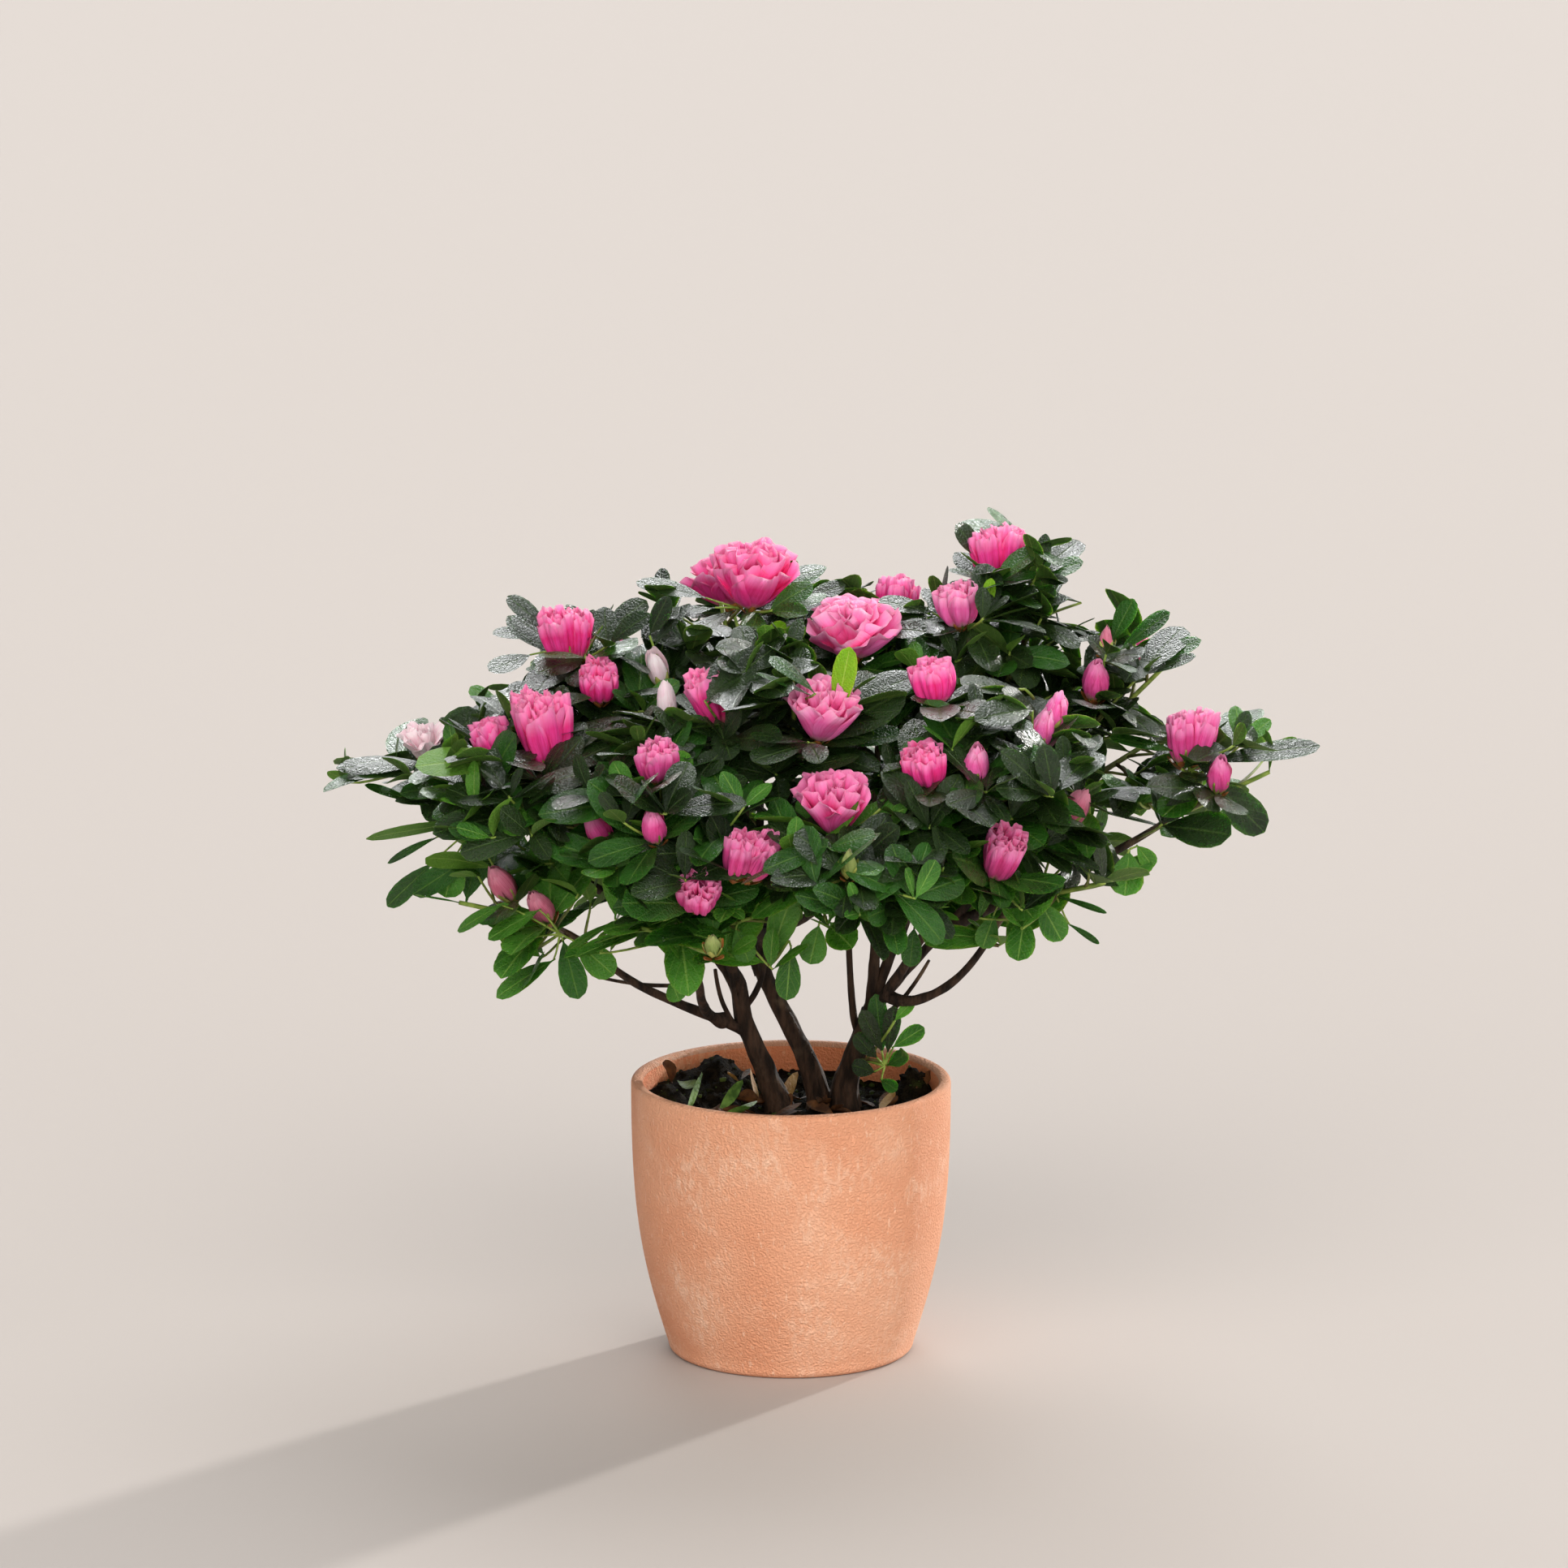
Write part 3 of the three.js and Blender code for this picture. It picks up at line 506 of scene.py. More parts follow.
# Each mass: its centre, its reach from there, the limb its bough leaves and at what share, sag and seed.
CROWN = {
    "top_left": ((-24, 16, 300), (58, 60, 62), "stem_middle", 1, 0, 1),
    "upper_left": ((-88, 6, 288), (58, 60, 54), "stem_middle", 0.96, 0, 2),
    "centre": ((2, -66, 288), (58, 58, 52), "stem_middle", 0.9, 0.05, 3),
    "back_centre": ((-14, 96, 268), (60, 60, 56), "stem_middle", 0.93, 0.05, 4),
    "front_left": ((-55, -91, 256), (60, 58, 50), "stem_left", 1, 0.1, 35),
    "left": ((-108, -56, 264), (60, 60, 56), "stem_left", 0.97, 0.05, 6),
    "lower_left": ((-114, -34, 202), (64, 60, 50), "stem_left", 0.66, 0.12, 7),
    "back_left": ((-96, 74, 258), (60, 60, 56), "stem_left", 0.92, 0.05, 38),
    "top_right": ((96, 14, 302), (56, 60, 70), "stem_right", 1, 0, 9),
    "top_centre": ((38, 4, 286), (56, 60, 60), "stem_right", 0.95, 0, 30),
    "upper_right": ((142, 6, 284), (54, 60, 54), "stem_right", 0.98, 0.1, 11),
    "front_right": ((84, -80, 262), (60, 58, 52), "stem_right", 0.9, 0.1, 12),
    "far_left": ((-152, 4, 248), (50, 62, 50), "left", 0.3, 0.05, 13),
    "low_front": ((-47, -73, 204), (60, 60, 38), "lower_left", 0.2, 0.1, 44),
    "front_centre": ((24, -112, 236), (58, 52, 42), "centre", 0.25, 0.1, 15),
    "far_right": ((186, -8, 250), (50, 56, 42), "upper_right", 0.4, 0.05, 16),
    "lower_right": ((110, -46, 214), (60, 58, 40), "front_right", 0.2, 0.3, 17),
    "back_right": ((74, 88, 262), (62, 62, 58), "top_right", 0.3, 0.05, 18),
    "back_far_right": ((148, 66, 250), (54, 58, 48), "back_right", 0.3, 0.05, 19),
    "back_low_left": ((-58, 72, 202), (60, 58, 42), "back_centre", 0.25, 0.1, 20),
    "back_low_right": ((58, 72, 204), (60, 58, 42), "back_right", 0.2, 0.1, 21),
}
FOOT_SHOOT = ((40, -9, 140), (21, 18, 26), "stem_right", 0.3, 0, 22)
FOOT_SHOOT_FACING = (0.5, -0.3, 0.8)


def unit(vector):
    return vector / max(np.linalg.norm(vector), 1e-9)


class Bend:
    """One cubic bend from its four points, in mm."""

    def __init__(self, *points):
        self.p = np.array(points, float)

    def at(self, share):
        s = np.asarray(share, float)[..., None]
        a, b, c, d = self.p
        return (1 - s) ** 3 * a + 3 * (1 - s) ** 2 * s * b + 3 * (1 - s) * s**2 * c + s**3 * d

    def way(self, share):
        s = np.asarray(share, float)[..., None]
        a, b, c = np.diff(self.p, axis=0)
        return units((1 - s) ** 2 * a + 2 * (1 - s) * s * b + s**2 * c)

    def length(self):
        return np.linalg.norm(np.diff(self.at(np.linspace(0, 1, 60)), axis=0), axis=1).sum()


def bough_bend(mass, parent):
    centre, reach, _, share, sag, _ = mass
    centre = np.array(centre, float)
    start = parent.at(share)
    along = unit(parent.way(share) + unit(centre - start))
    inward = start - centre
    end = centre + inward * BOUGH["entry"] / np.linalg.norm(inward / reach)
    span = np.linalg.norm(end - start)
    first = start + along * BOUGH["lift"] * span - (0, 0, sag * span)
    last = end + unit(inward) * BOUGH["level"] * span - (0, 0, sag * span)
    return Bend(start, first, last, end)


def share_of(pair, share):
    return pair[0] + (pair[1] - pair[0]) * share


def gather_tube(heap, bend, share, radii, ages):
    """Adds a round limb: a ring at each share of its bend, and a point that closes it at each end.

    The radii are given ring by ring, and the ages go into its UV map.
    """
    count, sides = radii.shape
    way = bend.way(share)
    east = np.empty_like(way)
    east[0] = unit(np.cross((0.3, 1, 0.1), way[0]))
    for i in range(1, count):
        east[i] = unit(east[i - 1] - way[i] * np.dot(east[i - 1], way[i]))
    north = np.cross(way, east)
    turn = np.arange(sides) * 2 * math.pi / sides
    round_way = np.cos(turn)[None, :, None] * east[:, None] + np.sin(turn)[None, :, None] * north[:, None]
    rings = bend.at(share)[:, None] + round_way * radii[..., None]
    verts = np.concatenate([rings.reshape(-1, 3), rings[:1].mean(1), rings[-1:].mean(1)])
    index = np.arange(count * sides).reshape(count, sides)
    after = np.roll(index, -1, axis=1)
    quads = np.stack([index[:-1], after[:-1], after[1:], index[1:]], -1).reshape(-1, 4)
    foot, tip = np.full((2, sides), [[count * sides], [count * sides + 1]])
    caps = np.stack([np.append(foot, tip), np.append(after[0], index[-1]), np.append(index[0], after[-1])], 1)
    uv = np.stack([np.repeat(ages, sides), np.tile(np.arange(sides) / sides, count)], 1)
    uv = np.concatenate([uv, [[ages[0], 0], [ages[-1], 0]]])
    heap.add(verts, [quads, caps], uv, np.zeros(len(quads) + len(caps), int), np.zeros(len(verts), bool))


def gather_limb(bend, radius, swell, over, sides, step, ridge, knot, ages):
    """Adds a limb whose bark stands in ridges along it, with knots now and then and a swollen foot."""
    length = bend.length()
    share = np.linspace(0, 1, max(int(length / step), 6))
    radii = np.empty((len(share), sides))
    for i, s in enumerate(share):
        thick = share_of(radius, s) * (1 + swell * math.exp(-s * length / over))
        for j in range(sides):
            turn = j * 2 * math.pi / sides
            around = Vector((math.cos(turn) * 2.2, math.sin(turn) * 2.2, s * length / 11 + bend.p[0][0]))
            broad = Vector((math.cos(turn) * 0.6, math.sin(turn) * 0.6, s * length / 9 + bend.p[3][0]))
            radii[i, j] = thick * (1 + ridge * noise.noise(around) + knot * noise.noise(broad))
    gather_tube(bark, bend, share, radii, np.linspace(*ages, len(share)))


bends = {}
bark = Gathered()
for name, (path, radius) in STEMS.items():
    bends[name] = Bend(*path)
    gather_limb(bends[name], radius, **STEM_BARK)
for name, mass in CROWN.items():
    bends[name] = bough_bend(mass, bends[mass[2]])
    gather_limb(bends[name], BOUGH["radius"], **BOUGH_BARK)
# Thin old shoots that rise between the stems: path, radius at foot and tip.
THIN_LIMBS = (
    (((30, 4, 140), (27, 4, 146), (26, 7, 158), (25, 10, 186)), (1.9, 1.3)),
    (((-21, 2, 141), (-26, 0, 147), (-31, -2, 154), (-33, -6, 172)), (1.5, 0.8)),
    (((-22, 2, 148), (-24, -2, 156), (-27, -6, 166), (-25, -10, 184)), (1.4, 0.8)),
    (((-21, 2, 152), (-16, 2, 158), (-12, 4, 164), (-11, 6, 178)), (1.6, 1.0)),
    (((-40, -1, 163), (-52, -6, 165), (-66, -10, 165), (-82, -14, 170)), (1.1, 0.7)),
    (((43, -2, 152), (49, -6, 158), (54, -10, 166), (60, -14, 178)), (1.2, 0.7)),
)
for path, radius in THIN_LIMBS:
    gather_limb(Bend(*path), radius, **THIN_BARK)
bark_finish, tree, shader = new_finish("azalea_bark")
wood = two_tone(tree, (28, 20, 15), (64, 46, 34), 240, stretch=(1, 1, 0.25))
wood = mixed(tree, patch(tree, 60, 0.55, 0.75), wood, srgb(96, 78, 60))
dress(tree, shader, wood, 0.85, patch(tree, 420, 0.3, 0.7, (1, 1, 0.22)), 0.8, 0.0012)
bark.piece("stems_and_boughs", [bark_finish], [*STEMS, *("bough_" + name for name in CROWN)], "bark")

# Shoots. Each mass has its own stem on from its bough, with a shoot out to each bloom or spray and finer
# ones from those. They are laid out here by the same seeded rule as the solids, and get their wood below.
GOLDEN_ANGLE = math.pi * (3 - math.sqrt(5))
CORE = np.array((8, 0, 190.0))
SHOOTS = {"directions": 12, "depth": (0.5, 0.78), "spacing": 41, "facing": -0.4}
FOOT_SHOOTS = {"directions": 4, "spacing": 0.44}
TWIG = {"stem": (1.6, 1.0), "side": (1.05, 0.75), "fine": (0.75, 0.5), "forks": (0.2, 0.85)}
LEADER = 0.5
OUTWARD_LIFT = 0.25
# How far ahead of a shoot's tip its leaves reach, where the sky has to stay free of them.
SPRAY_REACH = 12
# How far a shoot's tip turns up, low in the crown and high in it, and how far out it leans.
AIM = {"tangent": 0.6, "outward": (0.55, 0.25), "up": (0.5, 1.15), "heights": (175, 262)}
CLEARANCE = 0.3
# Blooms stand where the photograph has them: kind, place, tone. Those behind are listed too.
# The tone is the slot of the bloom's petals; tone 2 is a darker copy of the pink, painted shade for blooms in the
# crown's shade.
BLOOMS = (
    ("ball", -18, 2, 331, 0), ("open", 27, -16, 312, 1), ("cup", 45, 24, 320, 0), ("cup", 73, -16, 327, 1),
    ("pair", 90, 14, 340, 0), ("pair", -95, -8, 310, 0), ("cup", -82, -32, 297, 0), ("pale", -55, -18, 300, 4),
    ("pale", -53, -52, 290, 4), ("cluster", -103, -64, 276, 0), ("cup", -124, -50, 274, 0),
    ("pale_open", -158, -12, 266, 4), ("tall", -30, -66, 292, 0), ("funnel", 12, -80, 290, 1),
    ("cup", 62, -74, 304, 0), ("bud", 104, -76, 284, 1), ("bud", 110, -68, 290, 1), ("cup", 58, -106, 276, 0),
    ("bud", 78, -102, 276, 1), ("cup", -56, -98, 276, 2), ("funnel", 18, -114, 257, 2), ("pair", -21, -124, 240, 2),
    ("cup", -39, -118, 226, 2), ("bud", -57, -116, 254, 2), ("bud", -78, -92, 246, 2), ("bud", -104, -58, 206, 3),
    ("bud", -120, -46, 212, 3), ("tall", 86, -100, 235, 2), ("bud", 117, -60, 248, 3), ("bud", 131, -18, 294, 2),
    ("green", 136, 2, 309, 3), ("pair", 172, -16, 266, 2), ("bud", 184, -28, 256, 2), ("green", 24, -146, 246, 5),
    ("green", -33, -128, 208, 5), ("cup", -96, 118, 262, 1), ("bud", -80, 84, 286, 2), ("open", -26, 116, 308, 0),
    ("cup", 12, 128, 290, 1), ("bud", -46, 140, 270, 2), ("cup", 84, 116, 298, 0), ("pair", 112, 112, 262, 1),
    ("bud", -62, 134, 214, 2), ("bud", 62, 132, 216, 3), ("bud", 150, 44, 296, 2), ("pale", -124, 84, 248, 4),
)
# Where the sky shows between the sprays from the front: x and z of each opening, and its half sizes.
OPENINGS = (
    (130, 347, 12, 7), (178, 311, 9, 18), (169, 292, 22, 12), (187, 295, 11, 7), (146, 268, 13, 8),
    (218, 250, 18, 16), (217, 226, 14, 6), (182, 222, 16, 7), (149, 183, 31, 14), (158, 199, 18, 12),
    (-184, 275, 13, 9), (-184, 246, 12, 8), (-156, 291, 17, 9), (-125, 307, 13, 12), (-178, 224, 9, 5),
    (-168, 210, 7, 6), (-145, 178, 18, 18), (-152, 187, 14, 12), (-115, 201, 8, 5), (-101, 198, 7, 4),
    (-62, 152, 21, 9), (-81, 154, 14, 9), (-56, 174, 9, 4), (126, 205, 9, 7), (-47, 352, 9, 8), (126, 336, 10, 4),
    (163, 336, 11, 6), (-96, 342, 21, 4), (111, 367, 11, 3), (-189, 240, 16, 7), (-178, 219, 15, 8),
    (-136, 206, 18, 5), (-165, 236, 8, 5), (-97, 163, 7, 9), (114, 178, 10, 9), (196, 261, 13, 6), (200, 227, 8, 9),
    (56, 348, 4, 7), (-62, 166, 12, 5), (131, 170, 11, 5), (-25, 162, 17, 8), (12, 159, 11, 9), (-177, 285, 9, 8),
    (112, 167, 9, 5),
)
camera_at = np.array(CAMERA_AT) / MM
openings = np.array(OPENINGS, float)


def shows_sky(points, places=openings):
    """Whether any point stands in an opening, seen from where the photograph was taken."""
    nearer = camera_at[1] / (camera_at[1] - points[:, 1:2])
    seen = camera_at + (points - camera_at) * nearer
    off = (seen[:, None, ::2] - places[:, :2]) / places[:, 2:]
    return ((off**2).sum(-1) < 1).any()


SPACES = {**CROWN, "foot_shoot": FOOT_SHOOT}
FOOT = len(CROWN)
space_names = list(SPACES)
space_centres = np.array([space[0] for space in SPACES.values()], float)
space_reaches = np.array([space[1] for space in SPACES.values()], float)
mean_reaches = space_reaches.mean(axis=1)
outwards = [unit(unit(centre - CORE) + (0, 0, OUTWARD_LIFT)) for centre in space_centres[:FOOT]]
outwards.append(unit(np.array(FOOT_SHOOT_FACING)))


def seeded(seed):
    """The source's own row of drawn numbers."""
    state = seed * 7919 + 1

    def draw():
        nonlocal state
        state = (state * 48271) % 2147483647
        return state / 2147483647

    return draw


def powers(points):
    return ((points[..., None, :] - space_centres) ** 2).sum(-1) - mean_reaches**2


def mass_at(point):
    """The mass that a point belongs to; the foot shoot isn't one."""
    return int(np.argmin(powers(point)[:FOOT]))


def in_space(points, number, reach=1.0, over=0.0):
    """Whether all points are within the mass's reach and, but for a little, on its own side."""
    inside = np.linalg.norm((points - space_centres[number]) / space_reaches[number], axis=-1) < reach
    if not inside.all():
        return False
    power = powers(points)
    apart = np.linalg.norm(space_centres - space_centres[number], axis=1)
    ahead = power - power[..., number : number + 1] > 2 * apart * (CLEARANCE - over)
    ahead[..., number] = True
    return bool(ahead.all())


def aimed(tip, tangent, outward):
    """The way a shoot's last leaves or its bloom face: outwards below, nearly upright on top."""
    low, high = AIM["heights"]
    share = min(max((tip[2] - low) / (high - low), 0), 1)
    lift = (0, 0, share_of(AIM["up"], share))
    return unit(AIM["tangent"] * tangent + share_of(AIM["outward"], share) * outward + lift)


def ball_way(bearing, height):
    ring = math.sqrt(1 - height * height)
    return np.array((ring * math.cos(bearing), ring * math.sin(bearing), height))


def shoot_tips(number, leader, draw):
    """Tips with blooms first, then an even spread of directions that face out of the crown."""
    tips = []
    for kind, *place, tone in BLOOMS:
        at = np.array(place, float)
        if mass_at(at) == number:
            tips.append((at, kind, tone))
    turn = draw() * 2 * math.pi
    directions, spacing = SHOOTS["directions"], SHOOTS["spacing"]
    if number == FOOT:
        directions, spacing = FOOT_SHOOTS["directions"], FOOT_SHOOTS["spacing"] * spacing
    for i in range(directions):
        way = ball_way(turn + i * GOLDEN_ANGLE, 1 - (2 * i + 1) / directions)
        tip = space_centres[number] + way * space_reaches[number] * share_of(SHOOTS["depth"], draw())
        near = min(np.linalg.norm(tip - other) for other in (leader, *(other[0] for other in tips)))
        if near > spacing and way @ outwards[number] > SHOOTS["facing"] and in_space(tip, number):
            tips.append((tip, None, 0))
    return tips


def swung(base, tip, heading, out):
    """A twig that leaves along one heading and swings up to its tip."""
    span = np.linalg.norm(tip - base)
    straight = unit(tip - base)
    return Bend(base, base + unit(straight + 0.35 * heading) * span * 0.36,
                tip - unit(straight + 0.3 * out) * span * 0.34, tip)


shoots = []


def add_shoot(mass, bend, aim, order, bare, kind=None, tone=0):
    """Order 0 is a mass's own stem, 1 a shoot from it and 2 a finer twig; bare is the share without leaves."""
    shoots.append({"mass": mass, "tip": bend.p[3], "bend": bend, "aim": aim, "order": order, "bare": bare,
                   "kind": kind, "tone": tone})


for number, (name, mass) in enumerate(SPACES.items()):
    draw = seeded(mass[5])
    outward, centre = outwards[number], space_centres[number]
    leader = centre + outward * space_reaches[number] * LEADER
    if number == FOOT:
        foot = bends[mass[2]].at(mass[3])
        heading = unit(centre - foot)
    else:
        foot, heading = bends[name].at(1), bends[name].way(1)
    stem = Bend(foot, foot + heading * np.linalg.norm(foot - centre) / 2, centre, leader)
    tips = sorted(shoot_tips(number, leader, draw), key=lambda tip: np.linalg.norm(tip[0] - foot))
    add_shoot(number, stem, aimed(leader, stem.way(1), outward), 0, 0.62)
    for i, (tip, kind, tone) in enumerate(tips):
        share = share_of(TWIG["forks"], (i + 0.5) / len(tips))
        base = stem.at(share)
        aim = aimed(tip, unit(tip - base), outward)
        if kind or not shows_sky(np.array((tip, tip + SPRAY_REACH * aim))):
            add_shoot(number, swung(base, tip, stem.way(share), aim), aim, 1, 0.3, kind, tone)

# Finer twigs leave each shoot in turn, outwards and up, where there is room for another spray.
FINE = {"shares": (0.25, 0.42, 0.58, 0.74, 0.86), "length": (16, 30), "spacing": 17, "lean": 0.95}
INNER = {"shares": (0.1, 0.25, 0.38, 0.5, 0.62, 0.74, 0.88), "length": (20, 38), "lean": 1.2}
CORE_TWIGS = {"shares": (0.4, 0.52, 0.64, 0.76, 0.88), "above": 205}


def perpendicular(axis):
    return unit(np.cross(axis, (0, 0, 1) if abs(axis[2]) < 0.9 else (1, 0, 0)))


def turned(first, second, turn):
    """The direction at an angle from the first towards the second, which is square to it."""
    return first * math.cos(turn) + second * math.sin(turn)


def add_fine_twig(mass, base, way, out, tip, over, ahead):
    """Adds a finer twig if there is room for another spray, and says whether it did."""
    room = min(np.linalg.norm(tip - shoot["tip"]) for shoot in shoots) > FINE["spacing"]
    room = room and in_space(tip, mass, 0.97, over) and not shows_sky(np.array((tip, tip + ahead * out)))
    if room:
        aim = aimed(tip, out, outwards[mass])
        add_shoot(mass, swung(base, tip, way, aim), aim, 2, 0.2)
    return room


for number, name in enumerate(CROWN):
    for i, share in enumerate(CORE_TWIGS["shares"]):
        base, way = bends[name].at(share), bends[name].way(share)
        if base[2] >= CORE_TWIGS["above"]:
            draw = seeded(700 + 10 * number + i)
            side = perpendicular(way)
            turn = draw() * 2 * math.pi
            out = unit(turned(side, np.cross(way, side), turn) + 0.5 * way + (0, 0, 0.3))
            tip = base + out * share_of(INNER["length"], draw())
            add_fine_twig(mass_at(tip), base, way, out, tip, 8, 0)
for shoot in [shoot for shoot in shoots if shoot["order"] < 2]:
    shoot["forks"] = []
    number = shoot["mass"]
    draw = seeded(400 + len(shoots))
    plan = INNER if shoot["order"] == 0 else FINE
    spoke = draw() * 2 * math.pi
    for i, share in enumerate(plan["shares"] if number != FOOT else ()):
        for attempt in range(4):
            base, way = shoot["bend"].at(share), shoot["bend"].way(share)
            side = unit(np.cross(way, (0.2, 0.1, 1)))
            aside = turned(side, np.cross(way, side), spoke + (i + 0.37 * attempt) * GOLDEN_ANGLE)
            lean = plan["lean"] * (0.8 + 0.4 * draw())
            out = unit(turned(way, aside, lean) + 0.3 * outwards[number] + (0, 0, 0.12))
            tip = base + out * share_of(plan["length"], draw())
            if add_fine_twig(number, base, way, out, tip, 3, SPRAY_REACH):
                shoot["forks"].append((share, shoots[-1]))
                break

# Blooms. Double azalea flowers of thin crumpled petals, in whorls one inside the other, each on a green
# calyx. Some are open, most are still cups or buds. Each petal is a closed sheet of its own.
# Each whorl: petals, four points of its line as radius and height, half width, ruffle, waves.
BLOOM_WHORLS = {
    "ball": (
        (5, ((1, 0), (9, 3), (16, 13), (21, 24)), 16, 2.6, 1.8),
        (5, ((1, 1), (8, 6), (14, 17), (17.5, 28)), 14, 3.0, 2.1),
        (5, ((0.8, 2), (5, 8), (10, 20), (13, 31)), 12, 3.1, 2.2),
        (4, ((0.5, 3), (3, 10), (6, 21), (8, 32)), 8.5, 2.7, 2.0),
        (3, ((0.3, 4), (1, 12), (2.2, 22), (3.2, 32)), 5.5, 2.0, 1.6),
    ),
    "open": (
        (5, ((1, 0), (8, 4), (16, 11), (22.5, 17)), 17, 2.6, 1.7),
        (5, ((1, 1), (6, 7), (12, 16), (17.5, 22)), 14.5, 3.0, 2.0),
        (5, ((0.8, 2), (4, 8), (8, 18), (12, 26)), 12, 3.1, 2.1),
        (4, ((0.5, 3), (2, 11), (4, 19), (6, 27)), 8.5, 2.6, 1.9),
        (3, ((0.3, 4), (0.8, 11), (1.4, 19), (2.5, 26)), 5.5, 2.0, 1.6),
    ),
    "pale_open": (
        (5, ((1, 0), (4, 5), (7, 11), (11, 14)), 7.5, 1.8, 1.6),
        (4, ((0.6, 1), (3, 6), (5, 12), (6, 18)), 6, 1.7, 1.6),
        (2, ((0.4, 1), (2, 6), (2.4, 11), (2.4, 17)), 4, 1.4, 1.5),
    ),
    "funnel": (
        (5, ((1, 0), (7, 4), (11, 14), (16.5, 22)), 12.5, 2.3, 2.0),
        (5, ((0.8, 1), (5.5, 6), (9, 16), (12.5, 25)), 10.5, 2.6, 2.1),
        (4, ((0.5, 2), (3.2, 8), (5.5, 18), (8, 27)), 7.5, 2.3, 2.0),
        (3, ((0.3, 3), (1, 10), (2, 19), (3.4, 26.5)), 5, 1.8, 1.6),
    ),
    "cup": (
        (5, ((1, 0), (8.4, 2), (9.4, 11), (9.4, 18)), 9, 1.8, 2.1),
        (5, ((0.9, 1), (6.4, 4.5), (7.4, 13), (7.2, 20.5)), 7.6, 2.3, 2.3),
        (4, ((0.5, 2), (3, 7), (4.6, 14), (4.6, 21.5)), 5.8, 2.3, 2.2),
    ),
    "cluster": (
        (5, ((1, 0), (6.8, 4), (7.8, 20), (7.2, 32)), 8.6, 1.9, 2.0),
        (4, ((0.8, 1), (4.6, 8), (5.8, 21), (5.4, 34.5)), 7, 2.3, 2.1),
        (3, ((0.4, 3), (1.6, 10), (3, 22), (2.8, 35)), 4.8, 2.0, 1.8),
    ),
    "tall": (
        (5, ((0.9, 0), (7, 3.5), (8, 17), (8.4, 27)), 8.4, 1.8, 2.0),
        (5, ((0.8, 1), (4.8, 7), (6, 19), (6.4, 29.5)), 7, 2.2, 2.1),
        (3, ((0.4, 3), (1.8, 9), (3.2, 20), (3.4, 30)), 4.8, 2.0, 1.8),
    ),
    "pair": (
        (5, ((0.8, 0), (5.6, 2.5), (6.8, 14), (7.2, 23)), 7, 1.5, 1.9),
        (4, ((0.5, 1), (3.8, 6), (5, 15), (5, 25)), 5.8, 1.9, 2.0),
        (2, ((0.4, 2), (1.5, 8), (2.4, 16), (2.2, 24.5)), 4.2, 1.4, 1.6),
    ),
    "pale": (
        (4, ((0.8, 0), (5.2, 3), (5.4, 13), (1.4, 20)), 5.2, 0.35, 1.2),
        (3, ((0.5, 1), (3.6, 5), (3.6, 13), (0.6, 20.5)), 3.8, 0.3, 1.2),
    ),
    "bud": (
        (4, ((0.8, 0), (6.4, 3), (6.8, 12), (1.8, 19)), 6, 0.45, 1.2),
        (3, ((0.5, 1), (4.4, 5), (4.6, 13), (0.8, 20)), 4.4, 0.4, 1.2),
    ),
    "green": (
        (5, ((0.6, 0), (4.6, 2), (4.2, 8), (0.4, 15)), 3.4, 0.12, 1),
        (3, ((0.5, 1), (3, 4), (3, 10), (0.3, 15.5)), 2.4, 0.1, 1),
    ),
}
BLOOM_HEADS = {"cluster": 3, "pair": 2}
HEAD_SPREAD, HEAD_LEAN = 0.9, 0.12
# Rows of points along and across a petal: the frills of an open bloom need more than a rolled bud's petals.
FRILLED, OPENED, ROLLED = (11, 31), (10, 21), (7, 7)


def petal_grid(line, half, ruffle, waves, turn, rand, rows):
    """One petal about the bloom's own axis: it wraps round its line, and its margin is ruffled."""
    bend = Bend(*((radius, 0, height) for radius, height in line))
    u = np.linspace(0, 1, rows[0])[:, None] ** 0.9
    v = np.linspace(-1, 1, rows[1])[None, :]
    notch = 0.035 * np.sin(math.pi * 1.3 * v + rand[0] * 6.28) + 0.012 * np.sin(math.pi * 3.4 * v + rand[1] * 6.28)
    run = u * (0.95 + notch - 0.11 * v**4 * u**2)
    line_at, line_way = bend.at(run), bend.way(run)
    radius, height = line_at[..., 0], line_at[..., 2]
    broad = (0.28 + 0.72 * np.clip(u / 0.66, 0, 1) ** 0.8) * np.sqrt(1 - np.clip((u - 0.76) / 0.46, 0, 1) ** 2)
    wrap = np.minimum(half * broad / np.maximum(radius, 0.9), 1.45)
    broad_waves = np.sin(math.pi * waves * 0.9 * v + rand[2] * 6.28)
    frills = waves + (2.9 if rows is FRILLED else 2.1)
    fine_waves = np.sin(math.pi * frills * v + rand[3] * 6.28 + 1.2 * u)
    broadly, finely = (0.76, 0.24) if rows is FRILLED else (0.5, 0.42)
    ruff = ruffle * (0.12 * np.minimum(4 * u, 1) + broadly * u**1.6) * broad_waves
    ruff = ruff + ruffle * finely * u**3 * fine_waves
    pleat, pleats = (0.06, 2) if rows is FRILLED else (0.12, 3)
    fold = pleat * half * np.cos(math.pi * pleats * v + rand[4] * 3) * np.sin(math.pi * u)
    curl = 0.07 * half * (rand[1] - 0.35) * u**4 * 4
    shift = ruff + fold + 0.34 * v * np.minimum(u * 3, 1) + 0.5 * rand[5] + curl
    radius = np.maximum(radius - line_way[..., 2] * shift, 0.15)
    height = height + line_way[..., 0] * shift + 0.03 * half * v**2 * u
    angle = turn + v * wrap
    return np.stack([radius * np.cos(angle), radius * np.sin(angle), height], -1)


